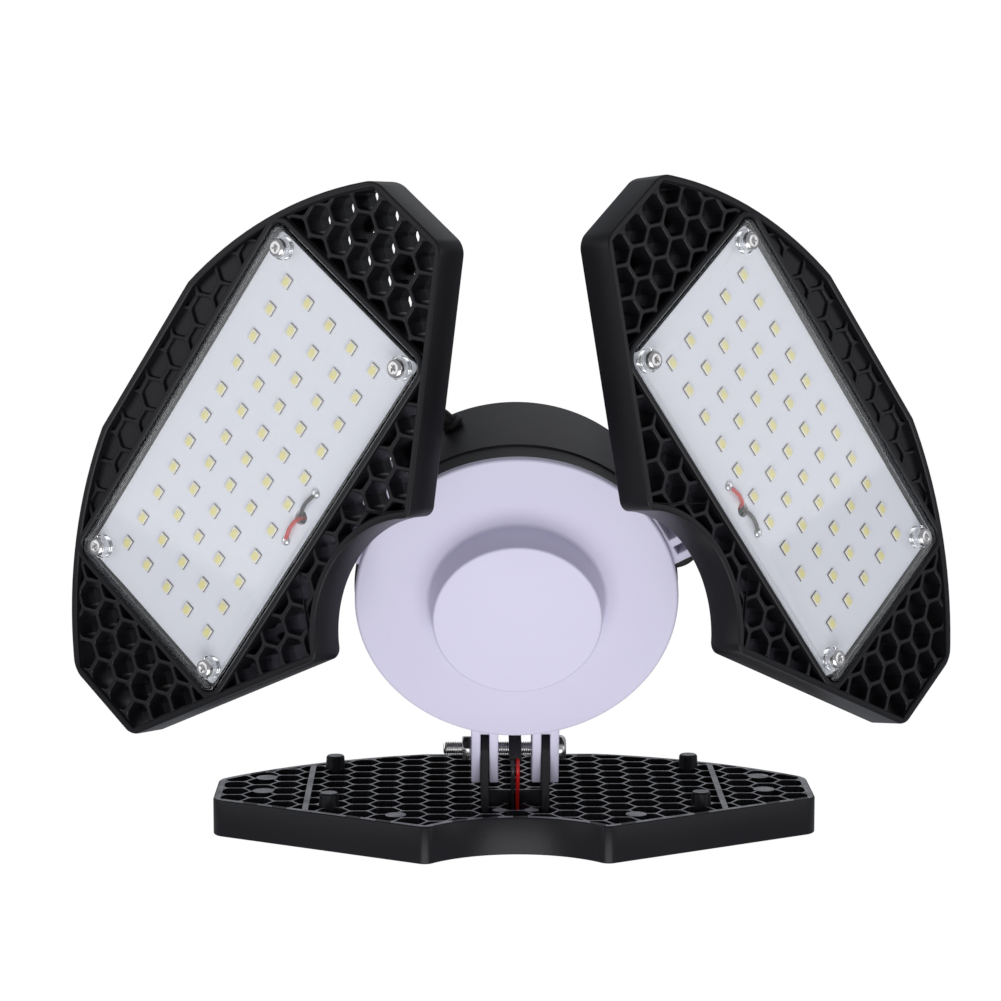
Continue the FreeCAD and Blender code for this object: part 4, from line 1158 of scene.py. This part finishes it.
# %% Hexagon nut, chamfered on both faces
nut = lathe("hinge_nut", [(3.5 / COS_30, 0), (3.5 / COS_30, 2.8)], 6, closed=False)
chamfer = lathe("chamfer", [(3.45, -0.01), (4.1, 0.35), (4.1, 2.2), (3.3, 2.81)], 64,
                closed=False)
carve(nut, chamfer, "INTERSECT")
carve(nut, rod("bore", 1.98, (0, 0, -1), (0, 0, 4), 32))
round_edges(nut, 0.08, 1, 40)
smooth(nut, 30)
put(nut, moved(-BLOCK_X, HINGE_RADIUS, HINGE_Z) @ turned(-90, "Y"))
for panel in PANEL_NAMES:
    for source, label in ((bolt, "hinge_bolt"), (nut, "hinge_nut")):
        piece = put(copy_of(source, panel + "_" + label + "_look"), hinge_place[panel])
        dress(piece, steel, "hub", panel + "_" + label)
for source in (bolt, nut):
    bpy.data.objects.remove(source)
print("hinge hardware done")

# %% [markdown]
# ## Neck and screw base
# The neck flares from the collar down to its foot on the housing. The base's shell carries a
# thread rolled out of thin sheet, with round crests and roots, so its profile is a wave that
# climbs one pitch in each turn. The glass insulator and the contact close the end.

# %% Neck
neck = lathe("lamp_neck_look", [
    (10.2, 10.4), (12.4, 10.4), (12.4, 0), (14.7, 0), (15, -0.3), (15, -2.5), (15.15, -4.5),
    (15.6, -8.2), (16.5, -11.95), (18.6, -15.6), (22.2, -19.4), (27, -22.5), (28.4, -24.6),
    (29.4, -27), (30, BACK_Z), (10.2, BACK_Z)], 160)
for k in range(18):
    groove = rod("groove", 0.9, (0, 16.6, -3.2), (0, 16.6, -11.2), 12)
    carve(neck, put(groove, turned(20 * k)))
smooth(neck, 35)
dress(neck, black_plastic, "hub", "lamp_neck")

# %% Screw shell with its rolled thread
SHELL_R, SHELL_TOP, THREAD_PITCH, THREAD_DEPTH = 13.1, 17.3, 3.63, 0.95
shell_points = [(12.45, 0), (SHELL_R, 0)]
for k in range(1, 61):
    shell_points.append((SHELL_R, SHELL_TOP * k / 60))
shell_points += [(12.5, 18.2), (11.4, 18.9), (10.4, 19.2), (10.4, 18.5), (12.45, 16.9)]
shell = lathe("screw_base_shell_look", shell_points, 120)
for vert in shell.data.vertices:
    x, y, z = vert.co / MM
    if math.hypot(x, y) > 13.0 and z > 0.4:
        turns = z / THREAD_PITCH - math.atan2(y, x) / (2 * math.pi)
        fade = min(1.0, (z - 0.4) / 2.5, (SHELL_TOP + 0.4 - z) / 1.6)
        sink = THREAD_DEPTH * fade * (0.5 - 0.5 * math.cos(2 * math.pi * turns))
        vert.co.x *= 1 - sink / SHELL_R
        vert.co.y *= 1 - sink / SHELL_R
smooth(shell, 60)
dress(shell, nickel, "hub", "screw_base_shell")

# %% Insulator and centre contact
insulator = lathe("screw_base_insulator_look", [
    (2.05, 23.1), (5.2, 23.1), (6.4, 22.6), (8.6, 20.9), (10.0, 19.3), (10.3, 18.6), (10.3, 18.3),
    (12.3, 16.7), (12.3, 14.9), (2.05, 14.9)], 96)
dress(insulator, base_glass, "hub", "screw_base_insulator")
contact = lathe("screw_base_contact_look", [
    (0.3, 24.5), (1.6, 24.45), (2.9, 24.25), (4.1, 23.85), (4.7, 23.5), (4.8, 23.1),
    (2.0, 23.1), (2.0, 14.9), (0.3, 14.9)], 64, closed=False)
dress(contact, brass, "hub", "screw_base_contact")
print("neck and base done")

# %% [markdown]
# ## Cables and wires
# A short black cable leaves the housing through a grommet, runs round to the hinge and ends in
# a sleeve behind the panel. The red and the black wire come out of the sleeve and pass through
# the panel to the board. A tube is a curve with a round bevel, turned into a mesh. The wires
# cross the hinge, so each one bends between the hub and its panel.


# %% Tubes
def rounded(points, bend):
    """The same route with each corner replaced by a curve."""
    route = [points[0]]
    for before, corner, after in zip(points, points[1:], points[2:]):
        a = corner + (before - corner) * min(0.5, bend / (before - corner).length)
        b = corner + (after - corner) * min(0.5, bend / (after - corner).length)
        for k in range(9):
            t = k / 8
            route.append(a.lerp(corner, t).lerp(corner.lerp(b, t), t))
    return route + [points[-1]]


def tube(name, points, radius, bend, sides=6):
    """A round tube along points in millimetres."""
    data = bpy.data.curves.new(name, "CURVE")
    data.dimensions = "3D"
    data.bevel_depth = radius * MM
    data.bevel_resolution = sides
    data.use_fill_caps = True
    route = rounded([Vector(p) for p in points], bend)
    spline = data.splines.new("POLY")
    spline.points.add(len(route) - 1)
    for spot, point in zip(spline.points, route):
        spot.co = (*(point * MM), 1)
    piece = bpy.data.objects.new(name, data)
    bpy.context.scene.collection.objects.link(piece)
    only(piece)
    bpy.ops.object.convert(target="MESH")
    edit(bpy.context.object)
    bpy.ops.mesh.remove_doubles(threshold=0.001 * MM)
    bpy.ops.mesh.normals_make_consistent(inside=False)
    piece = smooth(done(), 50)
    length = sum((b - a).length for a, b in zip(route, route[1:]))
    print(name, "is", round(length, 1), "mm long")
    return piece


def hub_point(radius, angle, above_rim):
    a = math.radians(90 + angle)
    return Vector((radius * math.cos(a), radius * math.sin(a), RIM_Z + above_rim))


# %% Cables and grommets
# Each stop is a radius, an angle beside the panel and a height above the rim.
CABLE_ROUTE = [(31.0, 36.0, 13.6), (31.0, 36.0, 31.0), (51.6, 36.0, 31.0), (56.2, 28.5, 31.0),
               (57.0, 13.0, 31.0), (54.4, 1.5, 26.5), (52.2, 0.0, 13.0), (56.6, 0.0, 0.0)]
cable_end = hub_point(*CABLE_ROUTE[-1])
away = (cable_end - hub_point(*CABLE_ROUTE[-2])).normalized()
grommets = []
for panel in PANEL_NAMES:
    cable = tube(panel + "_cable_look", [hub_point(*stop) for stop in CABLE_ROUTE], 1.97, 6.0)
    put(cable, hinge_place[panel])
    dress(cable, rubber, "hub", panel + "_cable")
    grommet = lathe("grommet", [(2.02, 43.4), (2.75, 43.4), (2.75, 46.9), (3.3, 47.0),
                                (3.6, 47.4), (3.5, 48.3), (3.0, 48.8), (2.02, 48.8)], 40)
    turn = turned(EXIT_ANGLE) @ turned(-90, "X")
    grommets.append(put(grommet, hinge_place[panel] @ moved(0, 0, EXIT_Z) @ turn))
grommets = join(grommets, "cable_grommets_look")
dress(grommets, rubber, "hub", "cable_grommets")

# %% Wires
SPREAD, AWAY = 0.75, 4.0
for panel in PANEL_NAMES:
    for side, label, material, slot in ((-1, "red_wire", red_vinyl, "red_lead"),
                                        (1, "black_wire", black_vinyl, "black_lead")):
        x = side * SPREAD
        start = cable_end + Vector((-x, 0, 0))
        stops = [hinge_place[panel] @ (p * MM) / MM for p in (start, start + away * AWAY)]
        for place in ((x, WIRE_HOLE, BACK - 2), (x, WIRE_HOLE + 0.6, BOARD_FRONT + 0.3),
                      (side * 4.6, WIRE_HOLE + 0.8, BOARD_FRONT + 1.1),
                      (side * 8.2, WIRE_HOLE, BOARD_FRONT + 0.7)):
            stops.append(panel_place[panel] @ (Vector(place) * MM) / MM)
        wire = tube(panel + "_" + label + "_look", stops, 0.6, 3.0, 5)
        wire.data.materials.append(material)
        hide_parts(panel + "_" + label)
        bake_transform(wire)

# %% [markdown]
# ## Pieces that keep their solid form
# The driver and the screws inside never show, so their solid forms stay. They get finishes
# of their own all the same.

# %% Hidden pieces
KEPT = {"neck_screws": steel, "ring_screws": steel, "driver_board": laminate,
        "driver_transformer": component, "driver_capacitors": component,
        "driver_inductor": component, "driver_chips": component, "mains_leads": black_vinyl}
for name, material in KEPT.items():
    piece = nodes[name]
    piece.data.materials.clear()
    piece.data.materials.append(material)
print("kept as they are:", ", ".join(KEPT))

# %% [markdown]
# ## The end

# %% Finish
bpy.ops.object.select_all(action="DESELECT")
